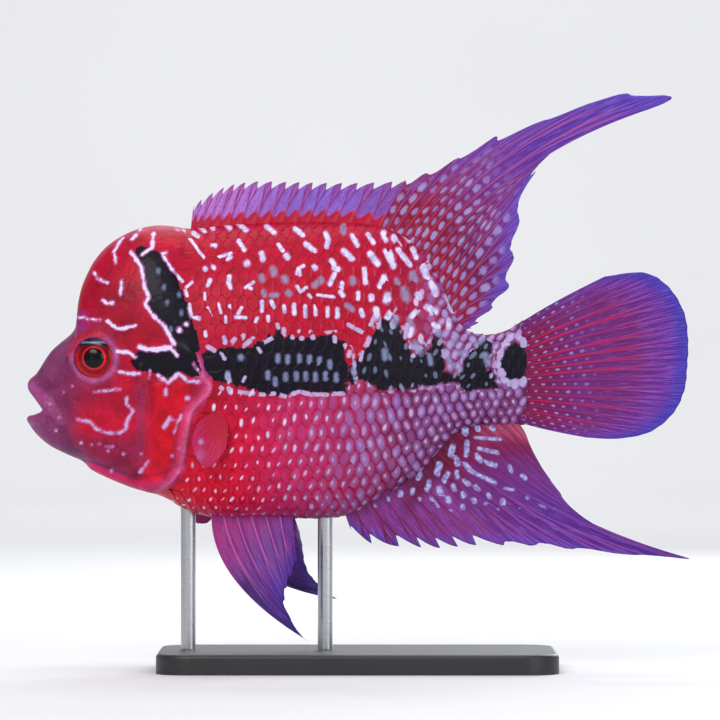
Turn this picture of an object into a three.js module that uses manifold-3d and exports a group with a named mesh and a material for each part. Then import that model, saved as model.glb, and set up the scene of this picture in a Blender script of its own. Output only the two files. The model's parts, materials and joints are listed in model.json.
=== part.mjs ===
// A flowerhorn cichlid, life size, as a still model on a plain display stand.
//
// Millimetres, +Z up. The fish faces -X and its left side faces -Y. The origin is the middle
// of the underside of the stand's base. Side outlines are given as [x, z] pairs.

import * as THREE from "three";
import { mergeVertices } from "three/addons/utils/BufferGeometryUtils.js";
import Module from "manifold-3d";

const wasm = await Module();
wasm.setup();

// Driving dimensions of the body
const SNOUT_X = -133;
const TAIL_ROOT_X = 68;
const RING_POINTS = 24;
const STATION_STEP_X = 5;
const STATION_STEP_Z = 4;
const NODE_GAP = 0.3;
const OPERCLE_PROUD = 0.6;
const OPERCLE_CUT_PROUD = 2;
const OPERCLE_INNER_Y = 10;
const WIDE = 45;

// Upper outline: lip, forehead, nuchal hump, back under the dorsal fin, root of the tail
const TOP_LINE = [
  [-133, 113.2], [-132.4, 115.6], [-131.2, 117.2], [-129.6, 118.2], [-123, 128], [-113.6, 136.6],
  [-112.7, 141], [-112.1, 147.5], [-110.8, 153.5], [-109, 158], [-105.6, 164.4], [-100, 170.6],
  [-91, 176], [-81.8, 178.4], [-75.8, 178.3], [-67, 177.2], [-51, 178.6], [-31, 179.8],
  [-11, 179.8], [9, 178.2], [21, 172.4], [31, 160.4], [37, 147], [41.8, 138], [46.5, 135.2],
  [54.6, 134.8], [60.5, 136.6], [65, 139.4], [68, 141.4],
];

// Lower outline: lip, chin, gill membranes, breast, belly, root of the anal fin, root of the tail
const BOTTOM_LINE = [
  [-133, 101.6], [-131.2, 97.4], [-128.4, 94], [-123.6, 90], [-115.6, 86], [-110.2, 83.6],
  [-107, 80.4], [-99, 76.4], [-89.8, 72.8], [-83, 71], [-77, 69], [-71.4, 65.8], [-65, 63],
  [-59.4, 61.7], [-39, 61.3], [-5, 62], [7, 68], [17, 73.8], [27, 81.2], [33, 88.4], [39, 95],
  [45, 97.7], [56, 98.2], [68, 98.1],
];

// Half of the body's width, and the height where it is widest
const HALF_WIDTH = [
  [-133, 2.6], [-132, 4.8], [-130, 7], [-126, 9.8], [-120, 13.2], [-113, 16.4], [-105, 19.2],
  [-95, 22], [-85, 24.5], [-75, 26.3], [-65, 27], [-50, 27], [-30, 25.6], [-10, 22.4], [5, 18.6],
  [18, 14.6], [30, 11], [40, 8.8], [50, 7.2], [60, 5.6], [65, 4.6], [68, 3.8],
];
const WIDEST_HEIGHT = [
  [-133, 107.5], [-124, 108], [-110, 112], [-80, 116], [-40, 118], [0, 120], [40, 118], [68, 119.5],
];

// Fullness of the section above and below its widest height: 2 is an ellipse, more is boxier
const UPPER_FULLNESS = [[-133, 2.1], [-118, 2.2], [-104, 2.7], [-84, 2.7], [-62, 2], [68, 1.85]];
const LOWER_FULLNESS = [[-133, 2.1], [-100, 2.3], [-40, 2.4], [10, 2], [68, 2]];

// Lines that part the body, each from outside the body to outside it or across another line
const JAW_LINE = [[-131, 126], [-125.5, 117], [-121.5, 108], [-119.5, 101.6], [-113, 92], [-107, 78]];
const LIP_CORNER_LINE = [[-127, 104.6], [-122, 102.6], [-118.6, 101.2]];
const HUMP_LINE = [
  [-118, 141.4], [-104, 139.4], [-92, 138.4], [-80, 142.5], [-73, 152], [-69, 165], [-67.2, 184],
];
const HEAD_LINE = [
  [-72.6, 158], [-68, 146], [-63.5, 130], [-59.5, 119.4], [-57.7, 113], [-61.2, 105], [-64.6, 95],
  [-68, 84], [-74.5, 75.5], [-84, 66],
];
const PEDUNCLE_LINE = [[43, 146], [41.4, 130], [41, 118], [41.8, 104], [44, 90]];
const MOUTH_OPENING = [
  [-142, 119], [-133.6, 115.4], [-130, 111.7], [-126.3, 106.6], [-125.6, 104.3], [-127.6, 103.2],
  [-133.4, 101.2], [-142, 98],
];
const OPERCLE = [
  [-82.6, 118.6], [-71, 121.4], [-60.6, 120], [-58, 113], [-61.5, 105], [-64.9, 95], [-68.3, 84],
  [-74.6, 76], [-81, 78], [-83.6, 86],
];

// Lips, eyes and nostrils
const LIP_RADIUS = 2;
const UPPER_LIP = [
  [-125.4, 9.6, 107.4], [-128, 8, 109.8], [-130.2, 4.4, 112.4], [-130.8, 0, 113.4],
];
const LOWER_LIP = [
  [-124.6, 9.8, 100.4], [-127.4, 8, 100], [-130.2, 4.4, 100.2], [-131, 0, 100.4],
];
const EYE_X = -105;
const EYE_Z = 125.2;
const EYE_RADIUS = 8.2;
const EYE_DEPTH_RADIUS = 6;
const EYE_SINK = 2.7;
const EYE_YAW = 0.26;
const SOCKET_RIM_RADIUS = 9;
const SOCKET_RIM_TUBE = 1.3;
const SOCKET_RIM_SINK = 0.7;
const NOSTRIL = [-119.4, 124.4];
const NOSTRIL_RADIUS = 1.1;

// Fins: half of the membrane's thickness, the rays' height above it, half of the tips' thickness
const MEMBRANE_HALF = 0.27;
const RAY_HEIGHT = 0.4;
const TIP_HALF = 0.16;
const RAY_FOOT = 0.28;

// Each fin's lines run from its root over a bend to its edge, front to rear. Rays lie between them.
const DORSAL_SPINY_LINES = [
  [[-67, 176.4], [-66.6, 182], [-65.8, 186.8]],
  [[-61, 177.2], [-59, 185.2], [-55, 193.2]],
  [[-50.2, 178], [-47.8, 187.2], [-43.4, 196]],
  [[-35.8, 178.8], [-33, 187.6], [-28.6, 196]],
  [[-21.4, 179.2], [-18.6, 187.6], [-14.2, 195.6]],
  [[-7, 179.2], [-3.4, 187.6], [2.2, 195.6]],
  [[8.6, 177.8], [13, 187.4], [18.6, 196.6]],
];
const DORSAL_SOFT_LINES = [
  [[9, 177.6], [13.4, 187.2], [19, 196.4]],
  [[13.4, 176], [20.2, 188.4], [32.6, 201.6]],
  [[17.8, 174], [29.8, 192.4], [54.2, 212.8]],
  [[21.4, 171.6], [41.8, 204.4], [82.6, 223.6]],
  [[24.6, 168.4], [49, 208.4], [107, 231.6]],
  [[27.8, 164.4], [57, 208.4], [124.6, 229.6]],
  [[30.6, 160], [57, 198], [97, 220.4]],
  [[33, 155.2], [51, 182.4], [79.4, 209.2]],
  [[35.4, 150], [48.2, 172.4], [68.6, 195.6]],
  [[37.4, 145.6], [48.2, 159.6], [63.8, 172.4]],
  [[39.4, 141.6], [48.2, 150.4], [60.6, 153.6]],
  [[41.4, 138], [45, 139.6], [50.6, 141.6]],
  [[42.6, 136.4], [43.8, 136.8], [46, 137.2]],
];
const CAUDAL_LINES = [
  [[67.4, 140.6], [79.4, 148.4], [99.4, 158]],
  [[68.2, 136.4], [89, 148.4], [115, 159.6]],
  [[68.6, 131.6], [93, 143.6], [125, 154]],
  [[69, 126.8], [97, 136.4], [131.4, 143.6]],
  [[69, 122.4], [99, 128.4], [133, 132.4]],
  [[69, 118], [99, 121.2], [132.6, 122]],
  [[69, 113.2], [97, 113.2], [131.4, 112.4]],
  [[68.6, 108.4], [95, 106], [127, 103.2]],
  [[68.2, 104], [91, 99.6], [117.8, 95.6]],
  [[67.8, 100.8], [85, 95.6], [105, 92.8]],
  [[67.4, 98.6], [77, 95.8], [92.2, 93.2]],
];
const ANAL_SPINY_LINES = [
  [[-5, 62.8], [-4.2, 60], [-2.6, 56]],
  [[-0.2, 65.2], [2.6, 58.4], [7.4, 50]],
  [[6.6, 68.8], [12.2, 60.4], [20.2, 49.6]],
  [[12.2, 72], [19.8, 61.2], [29.4, 48.8]],
  [[17.4, 75.2], [26.6, 62.8], [38.2, 49.2]],
  [[22.2, 78.4], [33, 65.2], [46.2, 50]],
  [[27.4, 82.1], [39.7, 67.4], [57.6, 50]],
];
const ANAL_SOFT_LINES = [
  [[27.8, 82.4], [40.2, 67.6], [58.2, 50]],
  [[30.2, 86], [47, 68.4], [75, 49.6]],
  [[32.6, 89.2], [57, 66.4], [97, 47.2]],
  [[35.8, 93.2], [73, 60.4], [133.4, 44.4]],
  [[39.4, 96], [69, 69.6], [113, 49.6]],
  [[43.4, 98], [69, 76.4], [98.2, 56]],
  [[49, 98.4], [67, 84.4], [87, 64]],
  [[55.4, 98.4], [67.2, 88], [80.2, 72.8]],
  [[61.4, 98.4], [67.4, 91.6], [74.6, 80.6]],
  [[64.8, 98.2], [68, 95], [69.4, 89.4]],
];
const PELVIC_LEFT_LINES = [
  [[-58.6, 62], [-58.6, 35.2], [-19.4, 12.2]],
  [[-52.6, 62], [-47, 37.2], [-25.4, 16.8]],
  [[-46.2, 62], [-40.6, 41.2], [-28.6, 25.6]],
  [[-39, 61.6], [-34.2, 46.4], [-28.6, 32]],
  [[-32.2, 61.6], [-29.4, 49.2], [-27, 37.6]],
  [[-26.2, 61.6], [-25.4, 52.4], [-24.2, 44.4]],
];
const PELVIC_RIGHT_LINES = [
  [[-57.4, 62], [-50.2, 34.4], [-8.2, 27.6]],
  [[-51, 62], [-40.6, 39.6], [-15, 33.2]],
  [[-43.8, 61.6], [-34.2, 44.4], [-19.4, 38]],
  [[-36.6, 61.6], [-28.6, 49.2], [-21.4, 43.2]],
  [[-30.2, 61.2], [-25.8, 52.4], [-22.2, 48.8]],
  [[-25.4, 61.2], [-24.2, 57.2], [-23.4, 54.8]],
];
const PECTORAL_LEFT_LINES = [
  [[-53.4, 105.2], [-58.2, 104.4], [-63.8, 98.8]],
  [[-52.6, 104], [-59.8, 99.6], [-65.8, 92]],
  [[-52.2, 102.8], [-59, 94], [-63.8, 85.2]],
  [[-51.8, 101.6], [-56.6, 92.4], [-60.2, 81.6]],
  [[-51.4, 100.4], [-53.8, 91.6], [-56.2, 83.6]],
  [[-51, 99.2], [-51.4, 94.4], [-52.2, 89.2]],
];
const PECTORAL_RIGHT_LINES = [
  [[-53.4, 105.2], [-64.6, 92.4], [-71, 69.6]],
  [[-52.6, 104], [-62.2, 88.4], [-69.4, 63.6]],
  [[-52.2, 102.8], [-59.8, 84.4], [-66.6, 60.8]],
  [[-51.8, 101.6], [-57.4, 82.4], [-63.4, 60]],
  [[-51.4, 100.4], [-54.2, 81.2], [-61, 60.8]],
  [[-51, 99.2], [-51.4, 81.2], [-58.2, 64.4]],
];
const PELVIC_ROOT_Y = 5;
const PELVIC_SPREAD = 12;
const PECTORAL_SPREAD = 5;
const PECTORAL_ROOT_SINK = 1.6;

// Stand
const BASE_LENGTH = 160;
const BASE_WIDTH = 84;
const BASE_HEIGHT = 8;
const BASE_CORNER = 14;
const ROD_RADIUS = 3;
const ROD_SIDES = 20;
const ROD_OVERLAP = 6;
const BASE_CORNER_STEPS = 6;
const ROD_FRONT_X = -68;
const ROD_REAR_X = -13;

// Fin edges: how far the end of a valley is drawn in, and the most of a line that is drawn in
const VALLEY_END_DRAWN = 0.45;
const MOST_DRAWN = 0.3;

// Fin thickness: where the root's fairing ends along a line, and how far a ray thins to its tip
const FAIRING_END = 0.35;
const RAY_THINNING = 0.75;

// Points inside each piece of the parted body
const IN_HEAD = [-90, 0, 110];
const IN_HUMP = [-90, 0, 160];
const IN_UPPER_JAW = [-125, 0, 113];
const IN_LOWER_JAW = [-122, 0, 95];
const IN_TORSO = [-20, 0, 120];
const IN_PEDUNCLE = [55, 0, 118];

// Fineness of the meshes
const OUTLINE_STEPS = 24;
const WALL_STEPS = 3;
const LIP_STEPS = 12;
const LIP_SIDES = 4;
const EYE_COLUMNS = 16;
const EYE_ROWS = 10;
const RIM_STEPS = 20;
const RIM_SIDES = 6;
const MERGE_DISTANCE = 1e-4;

// Curves through outline points

function heightAlong(points) {
  const knots = points.map(([x, z]) => new THREE.Vector3(x, 0, z));
  const curve = new THREE.CatmullRomCurve3(knots, false, "centripetal");
  const line = curve.getPoints(points.length * OUTLINE_STEPS);
  return (x) => {
    const after = line.findIndex((p) => p.x >= x);
    if (after < 0) {
      return line[line.length - 1].z;
    }
    if (after === 0) {
      return line[0].z;
    }
    const [a, b] = [line[after - 1], line[after]];
    return THREE.MathUtils.mapLinear(x, a.x, b.x, a.z, b.z);
  };
}

const topAt = heightAlong(TOP_LINE);
const bottomAt = heightAlong(BOTTOM_LINE);
const halfWidthAt = heightAlong(HALF_WIDTH);
const widestHeightAt = heightAlong(WIDEST_HEIGHT);
const upperFullnessAt = heightAlong(UPPER_FULLNESS);
const lowerFullnessAt = heightAlong(LOWER_FULLNESS);

// Half of the body's width at a point of its side view
function sideAt(x, z) {
  const middle = widestHeightAt(x);
  const upper = z > middle;
  const reach = upper ? topAt(x) - middle : middle - bottomAt(x);
  const fullness = upper ? upperFullnessAt(x) : lowerFullnessAt(x);
  const share = Math.min(Math.abs(z - middle) / reach, 1);
  return halfWidthAt(x) * (1 - share ** fullness) ** (1 / fullness);
}

// Solids and meshes

function solidOf(geometry) {
  geometry.deleteAttribute("normal");
  geometry.deleteAttribute("uv");
  const merged = mergeVertices(geometry, MERGE_DISTANCE);
  const vertProperties = Float32Array.from(merged.attributes.position.array);
  const triVerts = Uint32Array.from(merged.index.array);
  return new wasm.Manifold(new wasm.Mesh({ numProp: 3, vertProperties, triVerts }));
}

function geometryOf(solid) {
  const mesh = solid.getMesh();
  const geometry = new THREE.BufferGeometry();
  geometry.setAttribute("position", new THREE.BufferAttribute(mesh.vertProperties.slice(), 3));
  geometry.setIndex(new THREE.BufferAttribute(mesh.triVerts.slice(), 1));
  geometry.computeVertexNormals();
  return geometry;
}

function largestOf(solid) {
  return solid.decompose().reduce((best, piece) => (piece.volume() > best.volume() ? piece : best));
}

function meshFrom(positions, triangles) {
  const geometry = new THREE.BufferGeometry();
  geometry.setAttribute("position", new THREE.BufferAttribute(Float32Array.from(positions), 3));
  geometry.setIndex(triangles);
  return geometry;
}

// The outline [x, z] pushed through the body from one y to another
function prism(outline, fromY, toY) {
  const shape = new THREE.Shape(outline.map(([x, z]) => new THREE.Vector2(x, z)));
  const geometry = new THREE.ExtrudeGeometry(shape, { depth: toY - fromY, bevelEnabled: false });
  geometry.rotateX(Math.PI / 2);
  geometry.translate(0, toY, 0);
  return solidOf(geometry);
}

// Points moved sideways from their line by a distance, to the left of its direction
function shifted(points, distance, closed = false) {
  const last = points.length - 1;
  return points.map(([x, z], i) => {
    const before = points[i === 0 ? (closed ? last : 0) : i - 1];
    const after = points[i === last ? (closed ? 0 : last) : i + 1];
    const along = new THREE.Vector2(after[0] - before[0], after[1] - before[1]).normalize();
    return [x - along.y * distance, z + along.x * distance];
  });
}

// A thin wall along a line, used to part the body
function partingWall(line) {
  const curve = new THREE.SplineCurve(line.map(([x, z]) => new THREE.Vector2(x, z)));
  const points = curve.getPoints(line.length * WALL_STEPS).map((p) => [p.x, p.y]);
  const half = NODE_GAP / 2;
  return prism([...shifted(points, half), ...shifted(points, -half).reverse()], -WIDE, WIDE);
}

// Body

// Places along the body where its section is taken, closer where an outline is steep
function stations() {
  const places = [SNOUT_X];
  const fine = 0.1;
  let last = SNOUT_X;
  for (let x = SNOUT_X + fine; x < TAIL_ROOT_X - fine; x += fine) {
    const climb = Math.max(Math.abs(topAt(x) - topAt(last)), Math.abs(bottomAt(x) - bottomAt(last)));
    if (x - last >= STATION_STEP_X || climb >= STATION_STEP_Z) {
      places.push(x);
      last = x;
    }
  }
  places.push(TAIL_ROOT_X);
  return places;
}

// The whole body as one loft, grown outwards by a distance
function bodyGrownBy(distance) {
  const positions = [];
  const triangles = [];
  const places = stations();
  const signedPower = (value, power) => Math.sign(value) * Math.abs(value) ** power;
  places.forEach((place, i) => {
    const ends = i === 0 ? -distance : i === places.length - 1 ? distance : 0;
    const middle = widestHeightAt(place);
    const half = halfWidthAt(place) + distance;
    const up = topAt(place) - middle + distance;
    const down = middle - bottomAt(place) + distance;
    for (let k = 0; k < RING_POINTS; k += 1) {
      const angle = (2 * Math.PI * k) / RING_POINTS;
      const upper = Math.cos(angle) > 0;
      const power = 2 / (upper ? upperFullnessAt(place) : lowerFullnessAt(place));
      const rise = signedPower(Math.cos(angle), power) * (upper ? up : down);
      positions.push(place + ends, half * signedPower(Math.sin(angle), power), middle + rise);
    }
  });
  for (let i = 0; i < places.length - 1; i += 1) {
    for (let k = 0; k < RING_POINTS; k += 1) {
      const next = (k + 1) % RING_POINTS;
      const [a, b] = [i * RING_POINTS + k, i * RING_POINTS + next];
      const [c, d] = [a + RING_POINTS, b + RING_POINTS];
      triangles.push(a, c, d, a, d, b);
    }
  }
  const front = positions.length / 3;
  positions.push(SNOUT_X - distance, 0, widestHeightAt(SNOUT_X));
  positions.push(TAIL_ROOT_X + distance, 0, widestHeightAt(TAIL_ROOT_X));
  const lastRing = (places.length - 1) * RING_POINTS;
  for (let k = 0; k < RING_POINTS; k += 1) {
    const next = (k + 1) % RING_POINTS;
    triangles.push(front, k, next, front + 1, lastRing + next, lastRing + k);
  }
  return solidOf(meshFrom(positions, triangles));
}

const body = bodyGrownBy(0);
const bodyClearance = bodyGrownBy(NODE_GAP);

function lipRoll(points) {
  const near = points.map(([x, y, z]) => new THREE.Vector3(x, -y, z));
  const far = points.slice(0, -1).reverse().map(([x, y, z]) => new THREE.Vector3(x, y, z));
  const section = new THREE.Shape();
  section.absarc(0, 0, LIP_RADIUS, 0, 2 * Math.PI);
  const path = new THREE.CatmullRomCurve3([...near, ...far], false, "centripetal");
  const options = { steps: LIP_STEPS, extrudePath: path, bevelEnabled: false, curveSegments: LIP_SIDES };
  return solidOf(new THREE.ExtrudeGeometry(section, options));
}

// An eye's geometry turned to the slope of the head, on the side given by -1 (left) or 1
function placedAtEye(geometry, side, sink) {
  geometry.rotateZ(-side * EYE_YAW);
  geometry.translate(EYE_X, side * (sideAt(EYE_X, EYE_Z) - sink), EYE_Z);
  return solidOf(geometry);
}

function eyeball(side, grown) {
  const geometry = new THREE.SphereGeometry(1, EYE_COLUMNS, EYE_ROWS);
  const across = EYE_RADIUS + grown;
  geometry.scale(across, EYE_DEPTH_RADIUS + grown, across);
  return placedAtEye(geometry, side, EYE_SINK);
}

function socketRim(side) {
  const geometry = new THREE.TorusGeometry(SOCKET_RIM_RADIUS, SOCKET_RIM_TUBE, RIM_SIDES, RIM_STEPS);
  geometry.rotateX(Math.PI / 2);
  return placedAtEye(geometry, side, SOCKET_RIM_SINK);
}

function nostrilPit(side) {
  const geometry = new THREE.SphereGeometry(NOSTRIL_RADIUS, 8, 6);
  const [x, z] = NOSTRIL;
  geometry.translate(x, side * sideAt(x, z), z);
  return solidOf(geometry);
}

// The opercle's outline on one side, between the body grown by a distance and an inner plane
function opercleBlock(side, outline, grown, innerY) {
  const outer = side < 0 ? prism(outline, -WIDE, -innerY) : prism(outline, innerY, WIDE);
  return bodyGrownBy(grown).intersect(outer);
}

function pieceAt(pieces, [x, y, z]) {
  const probe = new THREE.SphereGeometry(0.5, 6, 4);
  probe.translate(x, y, z);
  const solid = solidOf(probe);
  return pieces.find((piece) => piece.intersect(solid).volume() > 0);
}

// Fins

// One point of a line list, between its lines by s and along them by t
function finPoint(lines, s, t) {
  const through = (column) => {
    const knots = lines.map((line) => new THREE.Vector2(...line[column]));
    return new THREE.SplineCurve(knots).getPoint(s);
  };
  return new THREE.QuadraticBezierCurve(through(0), through(1), through(2)).getPoint(t);
}

// A membrane with rays raised in both of its faces. Three columns make a ray: its crest and the
// feet of the valley behind it. The edge is drawn in between the rays by the notch. The first
// row lies below the root, so that trimming by the body leaves a root that follows the body.
function finPlate({ lines, rays, rows, rootHalf, sink, notch, sideways }) {
  const columns = [];
  for (let ray = 0; ray < rays; ray += 1) {
    columns.push({ s: ray / (rays - 1), crest: 1, drawn: 0 });
    if (ray < rays - 1) {
      columns.push({ s: (ray + RAY_FOOT) / (rays - 1), crest: 0, drawn: 1 });
      columns.push({ s: (ray + 1 - RAY_FOOT) / (rays - 1), crest: 0, drawn: VALLEY_END_DRAWN });
    }
  }
  const positions = { left: [], right: [] };
  columns.forEach(({ s, crest, drawn }) => {
    const root = finPoint(lines, s, 0);
    const down = root.clone().sub(finPoint(lines, s, 0.1)).normalize();
    const length = finPoint(lines, s, 1).distanceTo(root);
    const reach = 1 - (drawn * Math.min(notch, length * MOST_DRAWN)) / length;
    for (let row = 0; row <= rows; row += 1) {
      const t = (reach * Math.max(row - 1, 0)) / (rows - 1);
      const place = row === 0 ? root.clone().addScaledVector(down, sink) : finPoint(lines, s, t);
      const thick = MEMBRANE_HALF + (rootHalf - MEMBRANE_HALF) * Math.max(1 - t / FAIRING_END, 0);
      const taper = row === rows ? TIP_HALF : thick + crest * RAY_HEIGHT * (1 - RAY_THINNING * t);
      const middle = sideways(s, t, place.x, place.y);
      positions.left.push(place.x, middle - taper, place.y);
      positions.right.push(place.x, middle + taper, place.y);
    }
  });
  const stride = rows + 1;
  const count = columns.length * stride;
  const triangles = [];
  for (let i = 0; i < columns.length - 1; i += 1) {
    for (let row = 0; row < rows; row += 1) {
      const [a, b] = [i * stride + row, (i + 1) * stride + row];
      triangles.push(a, b, b + 1, a, b + 1, a + 1);
      triangles.push(count + a, count + b + 1, count + b, count + a, count + a + 1, count + b + 1);
    }
    const [a, b] = [i * stride, (i + 1) * stride];
    triangles.push(a, count + b, b, a, count + a, count + b);
    triangles.push(a + rows, b + rows, count + b + rows, a + rows, count + b + rows, count + a + rows);
  }
  const end = (columns.length - 1) * stride;
  for (let row = 0; row < rows; row += 1) {
    triangles.push(row, row + 1, count + row + 1, row, count + row + 1, count + row);
    const a = end + row;
    triangles.push(a, count + a + 1, a + 1, a, count + a, count + a + 1);
  }
  const geometry = meshFrom([...positions.left, ...positions.right], triangles);
  const solid = solidOf(geometry);
  if (solid.volume() > 0) {
    return solid;
  }
  geometry.setIndex(triangles.map((v, i) => triangles[i - (i % 3) + [0, 2, 1][i % 3]]));
  return solidOf(geometry);
}

function fin(options, keepClearOf = []) {
  const trimmed = keepClearOf.reduce((solid, other) => solid.subtract(other), finPlate(options));
  return largestOf(trimmed.subtract(bodyClearance));
}

// A slight sideways wave that leaves the root straight
const waving = (depth, turns) => (s, t) => depth * t * t * Math.sin(turns * Math.PI * s);
const pelvicSideways = (side) => (s, t) => side * (PELVIC_ROOT_Y + PELVIC_SPREAD * t);
const pectoralSideways = (side) => {
  const [x, z] = PECTORAL_LEFT_LINES[0][0];
  return (s, t) => side * (sideAt(x, z) - PECTORAL_ROOT_SINK + PECTORAL_SPREAD * Math.sqrt(t));
};

const EYE_RED = { color: 0xb01020, roughness: 0.15 };
const CRIMSON = { color: 0xc01a3c, roughness: 0.45 };
const MAUVE = { color: 0xa85080, roughness: 0.45 };
const MAGENTA = { color: 0xa04080, roughness: 0.45 };
const VIOLET = { color: 0x8a4a98, roughness: 0.5 };
const STAND_BLACK = { color: 0x18181a, roughness: 0.4 };
const ROD_STEEL = { color: 0xb8b8bc, roughness: 0.3, metalness: 1 };

const model = new THREE.Group();

function addNode(name, look, solid) {
  const mesh = new THREE.Mesh(geometryOf(solid), new THREE.MeshStandardMaterial(look));
  mesh.name = name;
  model.add(mesh);
}

// Body, parted by thin cuts
const walls = [JAW_LINE, LIP_CORNER_LINE, HUMP_LINE, HEAD_LINE, PEDUNCLE_LINE].map(partingWall);
const mouth = prism(MOUTH_OPENING, -WIDE, WIDE);
const pieces = walls.reduce((solid, wall) => solid.subtract(wall), body.subtract(mouth)).decompose();
const grownOpercle = shifted(OPERCLE, NODE_GAP, true);

let head = pieceAt(pieces, IN_HEAD);
for (const side of [-1, 1]) {
  head = head.add(socketRim(side)).subtract(eyeball(side, NODE_GAP)).subtract(nostrilPit(side));
  head = head.subtract(opercleBlock(side, grownOpercle, OPERCLE_CUT_PROUD, OPERCLE_INNER_Y - NODE_GAP));
}
addNode("head", CRIMSON, largestOf(head));
addNode("nuchal_hump", CRIMSON, pieceAt(pieces, IN_HUMP));
addNode("upper_jaw", MAUVE, largestOf(pieceAt(pieces, IN_UPPER_JAW).add(lipRoll(UPPER_LIP))));
addNode("lower_jaw", MAUVE, largestOf(pieceAt(pieces, IN_LOWER_JAW).add(lipRoll(LOWER_LIP))));
addNode("torso", CRIMSON, pieceAt(pieces, IN_TORSO));
addNode("caudal_peduncle", MAGENTA, pieceAt(pieces, IN_PEDUNCLE));

const SIDES = [["left", -1], ["right", 1]];
for (const [name, side] of SIDES) {
  const cover = opercleBlock(side, OPERCLE, OPERCLE_PROUD, OPERCLE_INNER_Y);
  addNode(`opercle_${name}`, CRIMSON, largestOf(cover));
  addNode(`eye_${name}`, EYE_RED, eyeball(side, 0));
}

// Fins on the middle plane
addNode("dorsal_fin_spiny", VIOLET, fin({
  lines: DORSAL_SPINY_LINES, rays: 16, rows: 5, rootHalf: 1.4, sink: 1.5, notch: 3,
  sideways: waving(0.4, 5),
}));
addNode("dorsal_fin_soft", VIOLET, fin({
  lines: DORSAL_SOFT_LINES, rays: 16, rows: 8, rootHalf: 1.4, sink: 1.5, notch: 2.6, sideways: waving(2, 1),
}));
addNode("caudal_fin", MAGENTA, fin({
  lines: CAUDAL_LINES, rays: 17, rows: 7, rootHalf: 2, sink: 2, notch: 1, sideways: waving(1.6, 2),
}));
addNode("anal_fin_spiny", VIOLET, fin({
  lines: ANAL_SPINY_LINES, rays: 8, rows: 5, rootHalf: 1.3, sink: 1.5, notch: 3.4, sideways: waving(0.5, 2),
}));
addNode("anal_fin_soft", VIOLET, fin({
  lines: ANAL_SOFT_LINES, rays: 12, rows: 7, rootHalf: 1.3, sink: 1.5, notch: 2, sideways: waving(1.6, 1),
}));

// Paired fins
const opercleClearance = (side) =>
  opercleBlock(side, grownOpercle, OPERCLE_PROUD + NODE_GAP, OPERCLE_INNER_Y);
const PAIRED_LINES = {
  left: { pelvic: PELVIC_LEFT_LINES, pectoral: PECTORAL_LEFT_LINES },
  right: { pelvic: PELVIC_RIGHT_LINES, pectoral: PECTORAL_RIGHT_LINES },
};
for (const [name, side] of SIDES) {
  addNode(`pelvic_fin_${name}`, VIOLET, fin({
    lines: PAIRED_LINES[name].pelvic, rays: 6, rows: 7, rootHalf: 0.9, sink: 3, notch: 3,
    sideways: pelvicSideways(side),
  }));
  addNode(`pectoral_fin_${name}`, MAUVE, fin({
    lines: PAIRED_LINES[name].pectoral, rays: 9, rows: 5, rootHalf: 0.8, sink: 0.5, notch: 0.8,
    sideways: pectoralSideways(side),
  }, [opercleClearance(side)]));
}

// Stand
function roundedBase() {
  const [a, b] = [BASE_LENGTH / 2, BASE_WIDTH / 2];
  const shape = new THREE.Shape();
  shape.absarc(a - BASE_CORNER, b - BASE_CORNER, BASE_CORNER, 0, Math.PI / 2);
  shape.absarc(BASE_CORNER - a, b - BASE_CORNER, BASE_CORNER, Math.PI / 2, Math.PI);
  shape.absarc(BASE_CORNER - a, BASE_CORNER - b, BASE_CORNER, Math.PI, 1.5 * Math.PI);
  shape.absarc(a - BASE_CORNER, BASE_CORNER - b, BASE_CORNER, 1.5 * Math.PI, 2 * Math.PI);
  const options = { depth: BASE_HEIGHT, bevelEnabled: false, curveSegments: BASE_CORNER_STEPS };
  return solidOf(new THREE.ExtrudeGeometry(shape, options));
}

function rod(x) {
  const foot = BASE_HEIGHT + NODE_GAP;
  const length = bottomAt(x) + ROD_OVERLAP - foot;
  const geometry = new THREE.CylinderGeometry(ROD_RADIUS, ROD_RADIUS, length, ROD_SIDES);
  geometry.rotateX(Math.PI / 2);
  geometry.translate(x, 0, foot + length / 2);
  return largestOf(solidOf(geometry).subtract(bodyClearance));
}

addNode("stand_base", STAND_BLACK, roundedBase());
addNode("stand_rod_front", ROD_STEEL, rod(ROD_FRONT_X));
addNode("stand_rod_rear", ROD_STEEL, rod(ROD_REAR_X));

export default model;
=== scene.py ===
# A flowerhorn cichlid on a plain display stand: skin, scales, fins, eyes, stand, stage.
#
# The body's outlines are in millimetres in the frame of the CAD model, -X to the snout and -Y to
# the fish's left side. Meshes are made in metres.
import functools
import json
import math

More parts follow.
